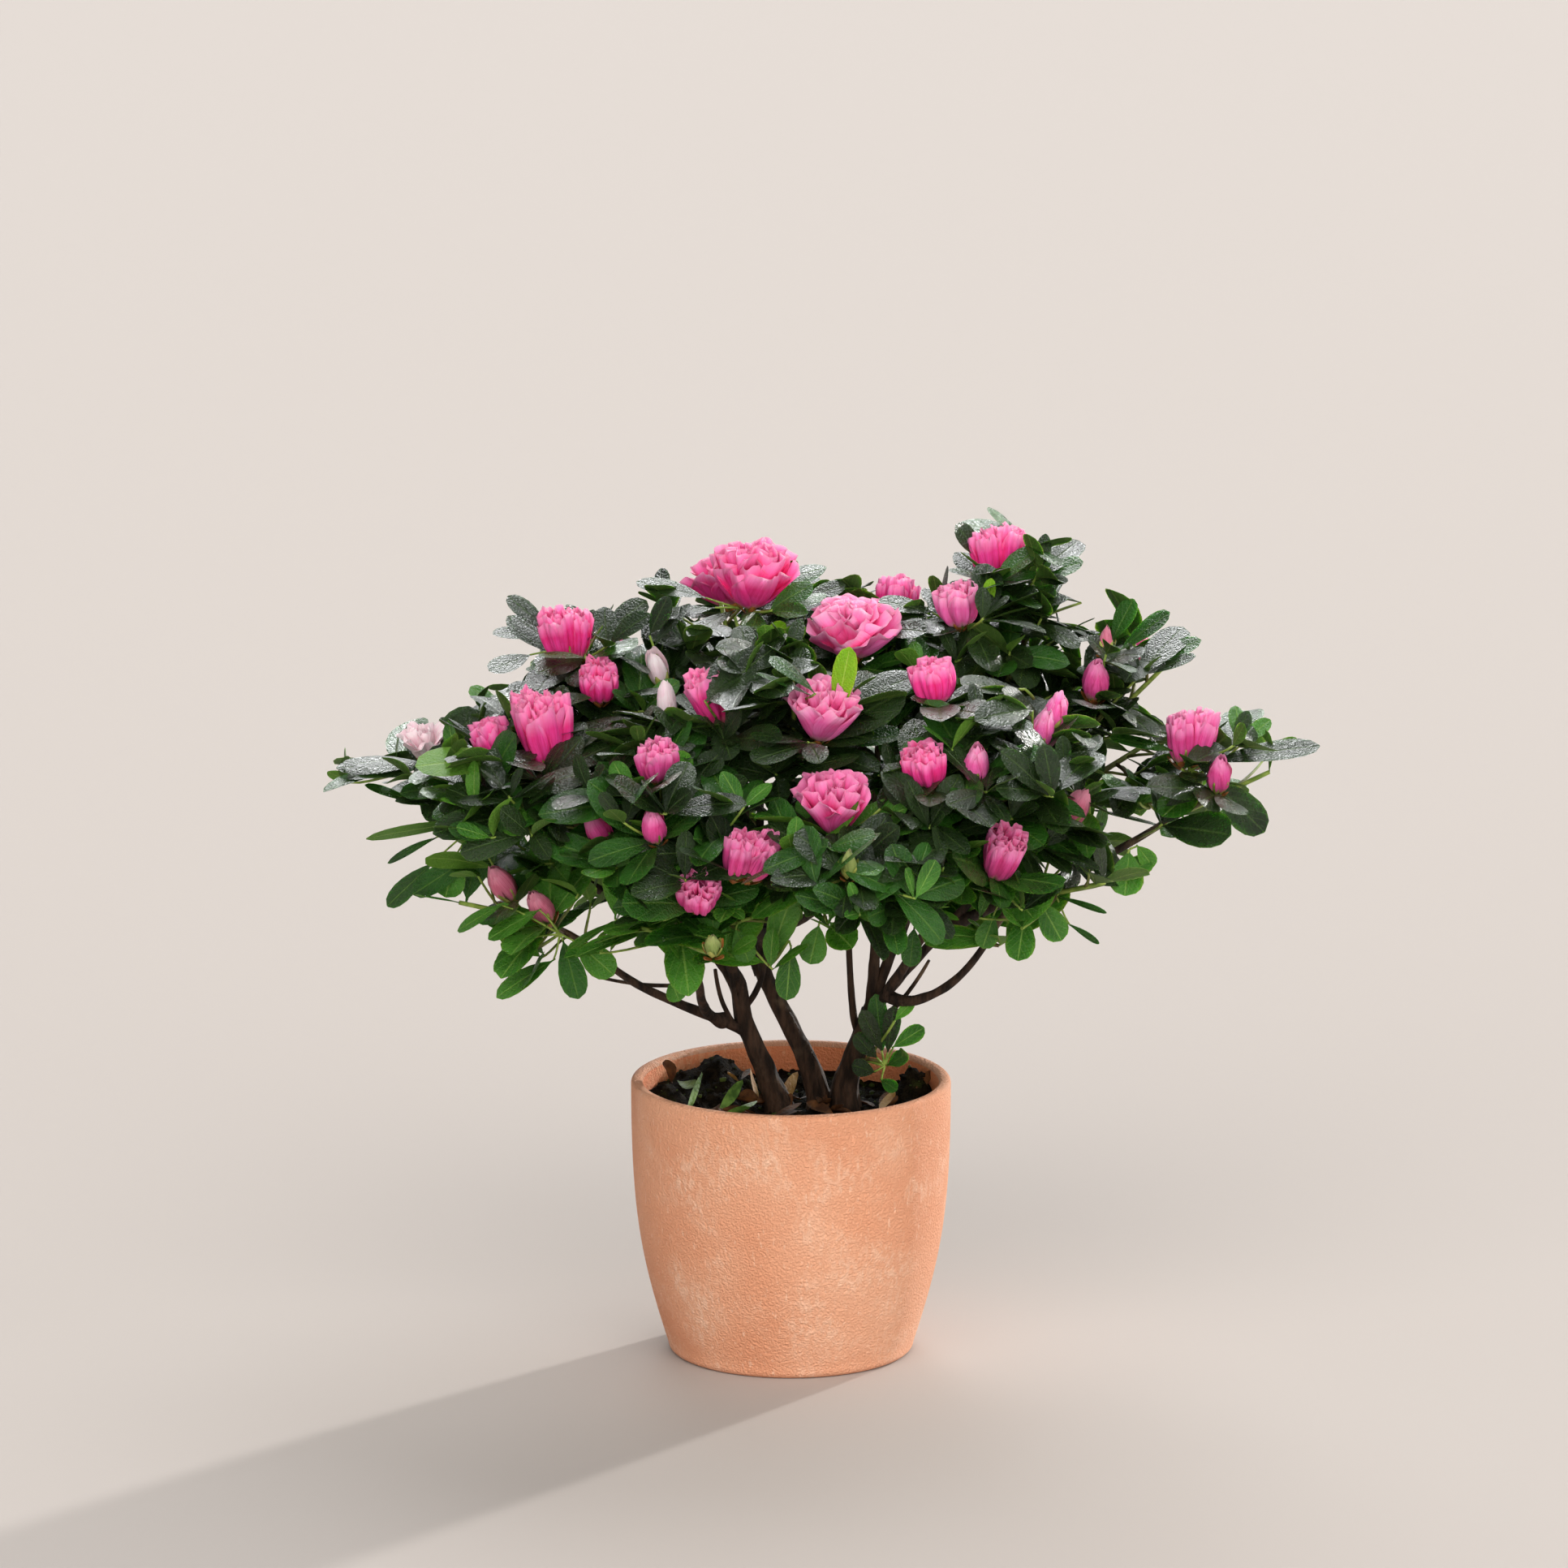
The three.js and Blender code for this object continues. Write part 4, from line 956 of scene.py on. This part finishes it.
BLOOM_PIECES = {
    "open_blooms": ("ball", "open", "pale_open", "funnel"),
    "half_open_blooms": ("cup", "tall", "cluster"),
    "opening_buds": ("pair", "pale", "bud", "green"),
}
FOLIAGE = ["foliage_" + name for name in SPACES]
petal_heaps = {name: Gathered() for name in BLOOM_PIECES}
heads = []
rng = np.random.default_rng(11)
for shoot in shoots:
    kind = shoot["kind"]
    if not kind:
        continue
    whorls = BLOOM_WHORLS[kind]
    piece = next(name for name, kinds in BLOOM_PIECES.items() if kind in kinds)
    heap = petal_heaps[piece]
    together = BLOOM_HEADS.get(kind, 1)
    for head in range(together):
        aim = shoot["aim"]
        aside = unit(np.cross((0, 1, 0), aim))
        aside = turned(aside, np.cross(aim, aside), head * 2 * math.pi / together + 0.3)
        alone = together == 1
        lean = unit(aim + (0 if alone else HEAD_LEAN) * aside)
        place = shoot["tip"] + (0 if alone else HEAD_SPREAD * whorls[0][2] * 0.5) * aside
        east = perpendicular(lean)
        north = np.cross(lean, east)
        size = rng.uniform(0.94, 1.06)
        grids = []
        for layer, (count, line, half, ruffle, waves) in enumerate(whorls):
            rows = ROLLED if ruffle < 0.6 else FRILLED if piece == "open_blooms" else OPENED
            for i in range(count):
                around = (i + 0.5 * layer + rng.uniform(-0.2, 0.2)) * 2 * math.pi / count
                grid = petal_grid(line, half, ruffle, waves, around, rng.random(6), rows)
                grids.append(place + grid * size * rng.uniform(0.92, 1.05) @ np.stack([east, north, lean]))
        gather_sheets(heap, np.array(grids), 0.35, np.full(len(grids), shoot["tone"]))
        radii, heights = zip(*whorls[0][1])
        heads.append((place, lean, max(heights) + 5, max(radii) * 0.9))
        wide = radii[1] / 9
        # The sepals, then the bud scales below them: how many, the way out and up, how far down and out they
        # start, length, width, shape and slot.
        for count, (outward, upward), (down, off), length, width, shape, slot in (
            (5, (0.35 + 0.5 * wide, 0.9), (1.2, 1.1), 8.5 + 2 * wide, 3.4, (-0.25, 0.5, 0.2, 0, 0.9), 6),
            (4, (1.1, 0.7), (3, 0.6), None, 3.6, (-0.3, 0.6, 0.2, 0, 0.7), 7),
        ):
            bearings = (np.arange(count) + rng.random()) * 2 * math.pi / count
            out = np.cos(bearings)[:, None] * east + np.sin(bearings)[:, None] * north
            lengths = np.full(count, length) if length else rng.uniform(6, 9, count)
            sheets = leaf_grids(place - lean * down + out * off, units(out * outward + lean * upward), -out, lengths,
                                np.full(count, width), np.tile(shape, (count, 1)))
            gather_sheets(heap, sheets, 0.3, np.full(count, slot))


def own_uv(tree):
    """The U and V of the piece's own map."""
    return new_node(tree, "SeparateXYZ", Vector=new_node(tree, "UVMap", {"uv_map": "own"}).outputs[0]).outputs


def ramped(tree, value, low, high):
    """A value's share of the way from low to high."""
    return new_node(tree, "MapRange", Value=value, From_Min=low, From_Max=high).outputs[0]


# Petal skin. The deep tone runs along fine streaks that are also the relief: vein colour with painted shade in the
# fine folds. The paler margin tone is a painted highlight on the petals' lit edges.
tree, into, out = new_effect(
    "petal_skin",
    [("Base", "Color", srgb(230, 70, 140)), ("Deep", "Color", srgb(200, 40, 110)),
     ("Claw", "Color", srgb(240, 190, 200)), ("Margin", "Color", srgb(250, 180, 215))],
    [("Color", "Color", None), ("Height", "Float", None)],
)
petal_skin = tree
u, v, _ = own_uv(tree)
streak_at = new_node(tree, "CombineXYZ", X=times(tree, u, 1.6), Y=times(tree, v, 26)).outputs[0]
streaks = new_node(tree, "TexNoise", Vector=streak_at, Scale=1.0, Detail=3.0).outputs[0]
colour = into["Base"]
for mask, share, tone in (
    # Deep along the streaks: vein colour, with painted shade in the petals' fine folds.
    (ramped(tree, streaks, 0.42, 0.68), 0.55, "Deep"),
    (patch(tree, 120, 0.4, 0.65), 0.35, "Deep"),
    (ramped(tree, u, 0.34, 0.05), 0.7, "Claw"),
    # A paler margin: painted highlight on the petals' lit edges.
    (ramped(tree, u, 0.72, 1.0), 0.6, "Margin"),
):
    colour = mixed(tree, times(tree, mask, share), colour, into[tone])
fill(tree, out, Color=colour, Height=streaks)
petal_materials = []
# Each finish: base, deep tone, claw, and the paler margin tone, which is a painted highlight on the lit edges.
for name, base, deep, claw, margin in (
    ("petal_hot", (254, 70, 152), (230, 12, 94), (250, 202, 180), (255, 168, 214)),
    ("petal_rose", (255, 116, 182), (244, 52, 136), (250, 216, 196), (255, 190, 222)),
    # A darker copy of the pink: painted shade for blooms that sit in the crown's shade.
    ("petal_shaded_pink", (242, 88, 158), (206, 30, 102), (238, 206, 168), (255, 166, 210)),
    ("petal_dusk", (230, 120, 146), (188, 72, 100), (206, 186, 128), (240, 160, 180)),
    ("petal_pale", (252, 226, 230), (244, 178, 200), (236, 232, 208), (255, 236, 240)),
    ("petal_green", (150, 162, 92), (104, 128, 54), (176, 178, 112), (186, 186, 120)),
):
    material, tree, shader = new_finish(name)
    skin = new_node(tree, "Group", {"node_tree": petal_skin}, Base=srgb(*base), Deep=srgb(*deep), Claw=srgb(*claw),
                    Margin=srgb(*margin)).outputs
    dress(tree, shader, skin["Color"], 0.55, skin["Height"], 0.5, 0.001, Specular_IOR_Level=0.22,
          Subsurface_Weight=0.3, Subsurface_Radius=(1.0, 0.45, 0.6), Subsurface_Scale=0.004)
    petal_materials.append(material)
for name, dark, light in (("calyx", (120, 132, 52), (176, 178, 92)), ("bud_scale", (112, 62, 28), (170, 108, 52))):
    material, tree, shader = new_finish(name)
    dress(tree, shader, two_tone(tree, dark, light, 220), 0.55, patch(tree, 900, 0.3, 0.7), 0.3, 0.0004)
    petal_materials.append(material)
for name, heap in petal_heaps.items():
    heap.piece(name, petal_materials, FOLIAGE, "foliage")

# Leaves. Leathery azalea leaves of 20 to 40 mm, widest past the middle, in whorls at the end of each
# shoot. Those on top are blackish green and shine. Those below are a clearer green, which is painted light
# standing in for light shining through the low leaves, and a few are lime.
LEAF = {"length": 37, "width": 0.45, "thickness": 0.4}
# Leaves in a spray of the mass's own stem, of a shoot and of a fine twig; a whorl sits close at the tip.
# Sprays low in the crown are thinner, so that the sky shows among them.
SPRAY_LEAVES = (12, 11, 8)
LOW_SPRAYS = {"below": 222, "share": 0.68, "size": 1.12, "hang": 0.72}
THIN_MASSES = {"far_right": 0.45, "far_left": 0.75, "lower_left": 0.7, "lower_right": 0.7, "low_front": 0.85}
LEAF_ROLL = 1.1
FOOT_LEAVES = {"length": 0.6, "count": (1, 1, 0)}
# Sprays that stand out in the photograph: where a spray's twig ends, then for each of its leaves the x and z
# of its root, its tip, its width and its tone.
PLACED = (
    ((173, -20, 264), (
        (179, 267, 229, -10, 275, 13, 0), (180, 261, 205, -26, 238, 16, 0), (177, 257, 160, -40, 249, 17, 2),
        (184, 243, 160, -36, 240, 13, 2), (174, 262, 160, -38, 261, 10, 0), (167, 272, 138, -26, 281, 9, 1),
    )),
    ((146, -34, 232), ((146, 232, 144, -44, 214, 15, 2), (149, 234, 157, -30, 223, 8, 3))),
    ((114, -50, 215), ((114, 215, 136, -52, 209, 4, 1), (119, 203, 133, -52, 195, 4, 1))),
    ((93, -70, 225), (
        (91, 225, 103, -84, 214, 13, 2), (106, 218, 116, -74, 201, 12, 2), (100, 212, 97, -84, 195, 13, 2),
        (87, 212, 82, -72, 197, 10, 2),
    )),
    ((-119, -70, 280), ((-120, 280, -160, -78, 280, 22, 6),)),
    ((-160, -10, 263), (
        (-164, 264, -195, -4, 263, 10, 0), (-162, 247, -184, -14, 257, 7, 1), (-142, 248, -170, -30, 254, 9, 0),
    )),
    ((-134, -40, 246), (
        (-134, 246, -184, -34, 239, 9, 5), (-152, 239, -175, -34, 227, 7, 1), (-154, 228, -175, -36, 207, 9, 1),
        (-135, 232, -163, -46, 215, 11, 1), (-144, 232, -149, -44, 213, 14, 2),
    )),
    ((-99, -70, 203), (
        (-123, 216, -144, -64, 204, 11, 2), (-107, 214, -130, -76, 203, 11, 2), (-109, 202, -124, -70, 190, 8, 6),
        (-101, 192, -127, -74, 177, 13, 2), (-98, 201, -91, -80, 177, 12, 1), (-93, 200, -76, -78, 187, 13, 2),
    )),
    ((-49, -60, 186), ((-52, 180, -48, -64, 172, 9, 2),)),
    ((-1, -78, 202), ((0, 200, -2, -80, 176, 11, 2),)),
    ((-24, -2, 332), (
        (-36, 336, -67, 8, 343, 12, 0), (-32, 332, -60, -12, 331, 9, 0), (-24, 331, -44, -30, 327, 9, 0),
    )),
    ((-92, -10, 317), (
        (-104, 322, -122, -2, 338, 11, 0), (-82, 321, -63, -2, 336, 13, 0), (-112, 313, -130, -22, 309, 13, 0),
    )),
    ((87, 14, 341), (
        (84, 350, 72, 12, 366, 14, 0), (101, 340, 126, 10, 351, 12, 1), (91, 331, 113, -6, 343, 8, 1),
        (86, 325, 118, -10, 339, 9, 0),
    )),
    ((140, 6, 312), (
        (139, 315, 148, 8, 334, 10, 1), (142, 311, 163, 2, 330, 11, 1), (149, 304, 177, 2, 318, 11, 1),
        (150, 300, 174, -8, 313, 9, 0),
    )),
    ((13, -80, 213), ((12, 210, 8, -84, 193, 12, 2), (16, 211, 27, -84, 201, 11, 2))),
    ((-23, -80, 210), ((-24, 208, -18, -84, 194, 10, 2),)),
    ((53, -60, 204), ((53, 204, 51, -64, 187, 9, 1),)),
    ((100, -60, 308), ((98, 308, 73, -76, 315, 16, 0), (71, 306, 52, -84, 310, 8, 0))),
    ((-39, -100, 272), ((-40, 277, -31, -96, 288, 13, 0), (-39, 270, -19, -104, 279, 11, 0))),
    ((65, -4, 328), ((62, 330, 38, 0, 336, 12, 0),)),
    ((4, 0, 331), ((4, 334, 23, 4, 342, 10, 0),)),
    ((19, -84, 299), ((19, 299, 24, -90, 332, 11, 4),)),
    ((82, -20, 328), ((83, 330, 86, -18, 348, 6, 4),)),
    ((-47, -98, 266), ((-48, 268, -50, -104, 290, 18, 3),)),
    ((-24, -60, 299), ((-24, 300, -13, -62, 313, 9, 3),)),
    ((-12, -10, 315), ((-13, 316, -3, -10, 327, 10, 4),)),
    ((14, -118, 255), ((14, 255, 26, -124, 277, 17, 3),)),
    ((41, -7, 129), (
        (40, 133, 37, -8, 161, 9, 1), (42, 134, 45, -10, 156, 8, 0), (44, 137, 58, -6, 146, 8, 2),
        (38, 132, 28, -12, 144, 8, 0), (42, 129, 50, -14, 136, 7, 1), (37, 126, 27, -14, 131, 8, 0),
        (39, 123, 46, -14, 120, 6, 1), (40, 135, 31, -14, 155, 8, 0),
    )),
    ((-6, -46, 248), (
        (-6, 248, -17, -56, 257, 14, 0), (-5, 249, 4, -56, 259, 13, 0), (-6, 247, -14, -60, 240, 13, 1),
        (-4, 247, 6, -58, 243, 13, 0), (-6, 250, -9, -50, 263, 12, 1),
    )),
)
WHORL = {"leaves": 7, "step": 1.1, "below": 3.6}
# Where along a leaf its place is marked as taken, and the other places a leaf tries if its own is: shorter
# leaves, turned aside.
LEAF_MARKS = (0.4, 0.68, 0.97)
TRIES = ((1, 0), (1, 0.3), (1, -0.3), (0.88, 0.6), (0.88, -0.6), (0.74, 0.15), (0.74, -0.9))
CELL = 5.0
taken = {}


def cell_of(point):
    return tuple(int(math.floor(c / CELL)) for c in point)


def is_free(points, room):
    for point in points:
        i, j, k = cell_of(point)
        for cell in ((a, b, c) for a in (i - 1, i, i + 1) for b in (j - 1, j, j + 1) for c in (k - 1, k, k + 1)):
            for (x, y, z), size in taken.get(cell, ()):
                if (point[0] - x) ** 2 + (point[1] - y) ** 2 + (point[2] - z) ** 2 < (room + size) ** 2:
                    return False
    return True


def take(points, size):
    for point in points.tolist():
        taken.setdefault(cell_of(point), []).append((point, size))


for name in CROWN:
    take(bends[name].at(np.linspace(0.1, 1, 40)), 0.8)
for name in STEMS:
    take(bends[name].at(np.linspace(0, 1, 30)), 2.5)
head_at, head_way, head_high, head_wide = (np.array(part) for part in zip(*heads))
# Leaves don't hang before a bloom, seen from where the photograph was taken, if it stands at the front or
# on top of the crown.
TOWARDS_VIEW = unit(np.array((0, -4.0, 0.86)))
FRONT_HEADS, TOP_HEADS = 80, 300
head_middle = head_at + head_way * head_high[:, None] * 0.5
in_front = (head_at[:, 1] < FRONT_HEADS) | (head_at[:, 2] > TOP_HEADS)
# Narrow gaps among the leaves, told as OPENINGS are, where a twig may still show.
GAPS = np.array((
    (161, 301, 5.0, 7.1), (-82, 196, 3.2, 6.4), (-97, 205, 4.3, 2.1), (-118, 218, 2.8, 2.1), (-68, 180, 9.2, 2.8),
    (156, 239, 4.3, 5.0), (108, 217, 4.3, 3.5), (148, 262, 5.0, 3.2), (128, 205, 6.4, 2.1), (-113, 198, 3.5, 2.1),
), float)


def clear_of_heads(points):
    """Whether the points are outside every bloom, not before one and not in an opening or a gap."""
    off = points[:, None] - head_at
    height = (off * head_way).sum(-1)
    wide = np.linalg.norm(off - height[..., None] * head_way, axis=-1)
    flare = head_wide * np.clip(height / head_high * 1.6, 0.25, 1)
    if ((height > 0) & (height < head_high) & (wide < flare)).any():
        return False
    off = points[:, None] - head_middle
    ahead = (off * TOWARDS_VIEW).sum(-1)
    flat = off - ahead[..., None] * TOWARDS_VIEW
    risen = np.clip((flat * head_way).sum(-1), 0, np.maximum(0.5 * (head_high - head_wide), 0))
    aside = np.linalg.norm(flat - risen[..., None] * head_way, axis=-1)
    if (in_front & (ahead > 0) & (aside < head_wide * 0.95)).any():
        return False
    return not shows_sky(points) and not shows_sky(points, GAPS)


# The tones a spray may take, by how high it stands: 0 is the blackest leaf and 4 the lime one.
# Lower sprays take clearer greens: painted light, standing in for light that shines through the low leaves.
TONES = {"high": (0, 0, 0, 1), "middle": (0, 1, 1, 2), "low": (1, 1, 2, 2, 2, 3, 3)}
LOW_TONES, HIGH_TONES = 208, 258
LEAF_KEYS = ("root", "along", "up", "length", "width", "shape", "slot", "x")
leaves = []
sprigs = Gathered()


def gather_twig(heap, bend, radius, ages, sides, rings, end=1.0, thick=1.0):
    """Adds a round twig, as far as a share of its bend; its radius and its age go evenly to their second value."""
    share = np.linspace(0, end, rings)
    radii = np.repeat((share_of(radius, share) * thick)[:, None], sides, 1)
    gather_tube(heap, bend, share, radii, share_of(ages, share))


for anchor, sprays in PLACED:
    anchor = np.array(anchor, float)
    limbs = [Bend(*path) for path, _ in STEMS.values()] if anchor[2] < 160 else [shoot["bend"] for shoot in shoots]
    marks = [(np.linalg.norm(limb.at(share) - anchor) + 2 * max(0, limb.at(share)[2] - anchor[2]), k, share)
             for k, limb in enumerate(limbs) for share in np.linspace(0.2, 1, 9)]
    _, k, share = min(marks)
    base, way = limbs[k].at(share), limbs[k].way(share)
    stalk = swung(base, anchor, way, unit(anchor - base))
    gather_twig(sprigs, stalk, (0.9, 0.6), (0.5, 1.0), 6, 6)
    for x, z, *tip, width, tone in sprays:
        root, tip = np.array((x, anchor[1], z), float), np.array(tip, float)
        reach = np.linalg.norm(tip - root)
        along = (tip - root) / reach
        if np.linalg.norm(root - anchor) > 1:
            stalk = swung(anchor, root + along, unit(root - anchor), along)
            gather_twig(sprigs, stalk, (0.55, 0.4), (0.8, 1.0), 5, 5)
        facing = np.array((0, -1, 0.4) if along[2] < -0.5 or anchor[2] < 160 else (0, -0.5, 1))
        take(root + (tip - root) * np.array(LEAF_MARKS)[:, None], 0.5)
        leaves.append((root, along, facing - (facing @ along) * along, reach, width, (0.06, 0.18, 0.12, 0.1, 0.5),
                       tone, root[0]))
for turn_number, shoot in enumerate(sorted(shoots, key=lambda s: s["order"])):
    number = shoot["mass"]
    small = number == FOOT
    draw = seeded(3000 + turn_number)
    aim, bend, tip = shoot["aim"], shoot["bend"], shoot["tip"]
    low = tip[2] < LOW_SPRAYS["below"] and not small
    scale = (1, 1, 0.86)[shoot["order"]] * (FOOT_LEAVES["length"] if small else LOW_SPRAYS["size"] if low else 1)
    thin = THIN_MASSES.get(space_names[number], 1) * (LOW_SPRAYS["share"] if low and tip[1] < 10 else 1)
    count = FOOT_LEAVES["count"][shoot["order"]] if small else round(SPRAY_LEAVES[shoot["order"]] * thin)
    lowest = space_centres[number][2] - LOW_SPRAYS["hang"] * space_reaches[number][2]
    side = perpendicular(aim)
    spoke = draw() * 2 * math.pi
    length = bend.length()
    shoot["leafy"] = 0
    height = tip[2] + 30 * (draw() - 0.5)
    # The tone follows the spray's height; the clearer greens lower down are painted light.
    tones = TONES["high" if height > HIGH_TONES else "middle" if height > LOW_TONES or small else "low"]
    tone = tones[int(draw() * len(tones))]
    for i in range(count):
        inner = i >= WHORL["leaves"]
        young = i < 2 and not shoot["kind"]
        back = WHORL["leaves"] * WHORL["step"] + (i - 5) * WHORL["below"] if inner else i * WHORL["step"]
        least, more = (1.3, 0.5) if inner else (0.45, 0.3) if young else (0.8, 0.75)
        lean = least + more * draw()
        full = scale * (0.62 if young else 1) * (0.7 + 0.5 * draw())
        share = max(1 - back / length, shoot["bare"])
        place, way = bend.at(share), bend.way(share)
        jitter = 0.8 * (draw() - 0.5)
        for size, turn in TRIES:
            aside = turned(side, np.cross(aim, side), spoke + i * GOLDEN_ANGLE + turn + jitter)
            along = unit(turned(aim, aside, lean) + (0, 0, 0.05))
            reach = LEAF["length"] * full * size
            across = unit(np.cross(aim, along))
            up = np.cross(along, across)
            arch = 0.04 + 0.2 * draw()
            marks = [place + along * reach * s - up * arch * s * s * reach for s in LEAF_MARKS]
            marks += [marks[1] + across * reach * 0.16, marks[1] - across * reach * 0.16]
            marks = np.array(marks)
            hangs = marks[:, 2].min() < lowest and not small or shows_sky(place[None], GAPS)
            if not hangs and in_space(marks, number, 1.03, 6) and clear_of_heads(marks) and is_free(marks, 1.3):
                take(marks, 0.5)
                shoot["leafy"] = max(shoot["leafy"], share)
                facing = aim + LEAF_ROLL * across * (draw() - 0.5) + (0, 0, 0.45 if low else 0)
                width = reach * LEAF["width"] * (0.84 + 0.34 * draw())
                fullness = 0.42 + 0.26 * draw()
                shape = (arch, 0.12 + 0.38 * draw(), 0.1 + 0.25 * draw(), 0.5 * (draw() - 0.5), fullness)
                slot = tone + 1 if young and 0 < tone < 3 else tone
                leaves.append((place - along * 0.3, along, facing, reach, width, shape, slot,
                               space_centres[number][0]))
                break
leaves = {key: np.array(values) for key, values in zip(LEAF_KEYS, zip(*leaves))}
leaves["under"] = np.where(leaves["slot"] < 2, 5, 6)  # the dark or the light underside

tree, into, out = new_effect(
    "leaf_skin",
    [("Base", "Color", srgb(30, 50, 30)), ("Vein", "Color", srgb(80, 110, 50)), ("Shade", "Color", srgb(20, 34, 20))],
    [("Color", "Color", None), ("Height", "Float", None), ("Roughness", "Float", None)],
)
leaf_skin = tree
u, v, _ = own_uv(tree)
off_middle = worked(tree, "ABSOLUTE", worked(tree, "SUBTRACT", v, 0.5))
slanted = worked(tree, "SUBTRACT", times(tree, u, 7), times(tree, off_middle, 4.2))
wave = worked(tree, "ABSOLUTE", worked(tree, "SUBTRACT", worked(tree, "FRACT", slanted), 0.5))
side_veins = times(tree, ramped(tree, wave, 0.1, 0.0), 0.45)
veins = worked(tree, "MAXIMUM", ramped(tree, off_middle, 0.045, 0.012), side_veins)
colour = mixed(tree, patch(tree, 45, 0.35, 0.7), into["Base"], into["Shade"])
colour = mixed(tree, times(tree, veins, 0.55), colour, into["Vein"])
pits = times(tree, patch(tree, 1000, 0.36, 0.64), 0.7)
sunk = worked(tree, "SUBTRACT", pits, times(tree, veins, 0.8))
gloss = worked(tree, "ADD", times(tree, patch(tree, 240, 0.35, 0.65), 0.12), 0.25)
fill(tree, out, Color=colour, Height=sunk, Roughness=gloss)
leaf_materials = []
for name, base, shade, vein, gloss_level in (
    ("leaf_blackish", (32, 50, 20), (18, 32, 12), (66, 88, 40), 0.6),
    ("leaf_deep", (40, 84, 24), (24, 54, 12), (88, 122, 48), 0.55),
    ("leaf_green", (70, 122, 38), (42, 88, 22), (132, 168, 76), 0.5),
    ("leaf_fresh", (84, 140, 42), (58, 110, 26), (146, 178, 86), 0.45),
    ("leaf_lime", (132, 176, 34), (100, 150, 20), (178, 206, 88), 0.4),
    ("leaf_under_dark", (80, 110, 48), (56, 84, 30), (128, 150, 78), 0.2),
    ("leaf_under_light", (94, 136, 48), (70, 110, 32), (140, 170, 82), 0.2),
):
    material, tree, shader = new_finish(name)
    skin = new_node(tree, "Group", {"node_tree": leaf_skin}, Base=srgb(*base), Shade=srgb(*shade),
                    Vein=srgb(*vein)).outputs
    rough = 0.6 if "under" in name else skin["Roughness"]
    dress(tree, shader, skin["Color"], rough, skin["Height"], 0.6, 0.0005, Specular_IOR_Level=gloss_level,
          Subsurface_Weight=0.2, Subsurface_Radius=(0.5, 1.0, 0.2), Subsurface_Scale=0.0015)
    leaf_materials.append(material)
for part, chosen in (
    ("left", leaves["x"] < -50), ("middle", abs(leaves["x"]) <= 50), ("right", leaves["x"] > 50)
):
    heap = Gathered()
    grids = leaf_grids(*(leaves[key][chosen] for key in LEAF_KEYS[:6]))
    gather_sheets(heap, grids, LEAF["thickness"], leaves["slot"][chosen], leaves["under"][chosen])
    heap.piece("leaves_" + part, leaf_materials, FOLIAGE, "foliage")

# Twigs. Young azalea wood, green at the tips and brown towards the boughs, thin and round. A twig ends at
# its bloom or its last leaf or fork, and one that carries nothing isn't there.
twigs = Gathered()
for stem in [shoot for shoot in shoots if shoot["order"] == 0]:
    thick = 0.55 if stem["mass"] == FOOT else 1
    gather_twig(twigs, stem["bend"], TWIG["stem"], (0.25, 0.9), 7, 12, thick=thick)
for shoot in [shoot for shoot in shoots if shoot["order"] > 0]:
    forks = [share for share, fork in shoot.get("forks", ()) if fork["leafy"]]
    carries = 1 if shoot["kind"] else max([shoot["leafy"], *forks])
    if carries:
        radius, ages = (TWIG["side"], (0.35, 1.0)) if shoot["order"] == 1 else (TWIG["fine"], (0.5, 1.0))
        thick = 0.7 if shoot["mass"] == FOOT else 1
        gather_twig(twigs, shoot["bend"], radius, ages, 6, 7, carries, thick)
young_wood, tree, shader = new_finish("young_wood")
greening = ramped(tree, own_uv(tree)[0], 0.45, 0.85)
skin = two_tone(tree, (62, 46, 30), (92, 72, 44), 300)
green = two_tone(tree, (100, 126, 44), (146, 166, 74), 200)
dress(tree, shader, mixed(tree, greening, skin, green), 0.55, patch(tree, 900, 0.3, 0.7), 0.3, 0.0004)
twigs.piece("twigs", [young_wood], FOLIAGE, "foliage")
sprigs.piece("sprigs", [young_wood], FOLIAGE, "foliage")

print("leaves", len(leaves["x"]), "shoots", len(shoots), "heads", len(heads))
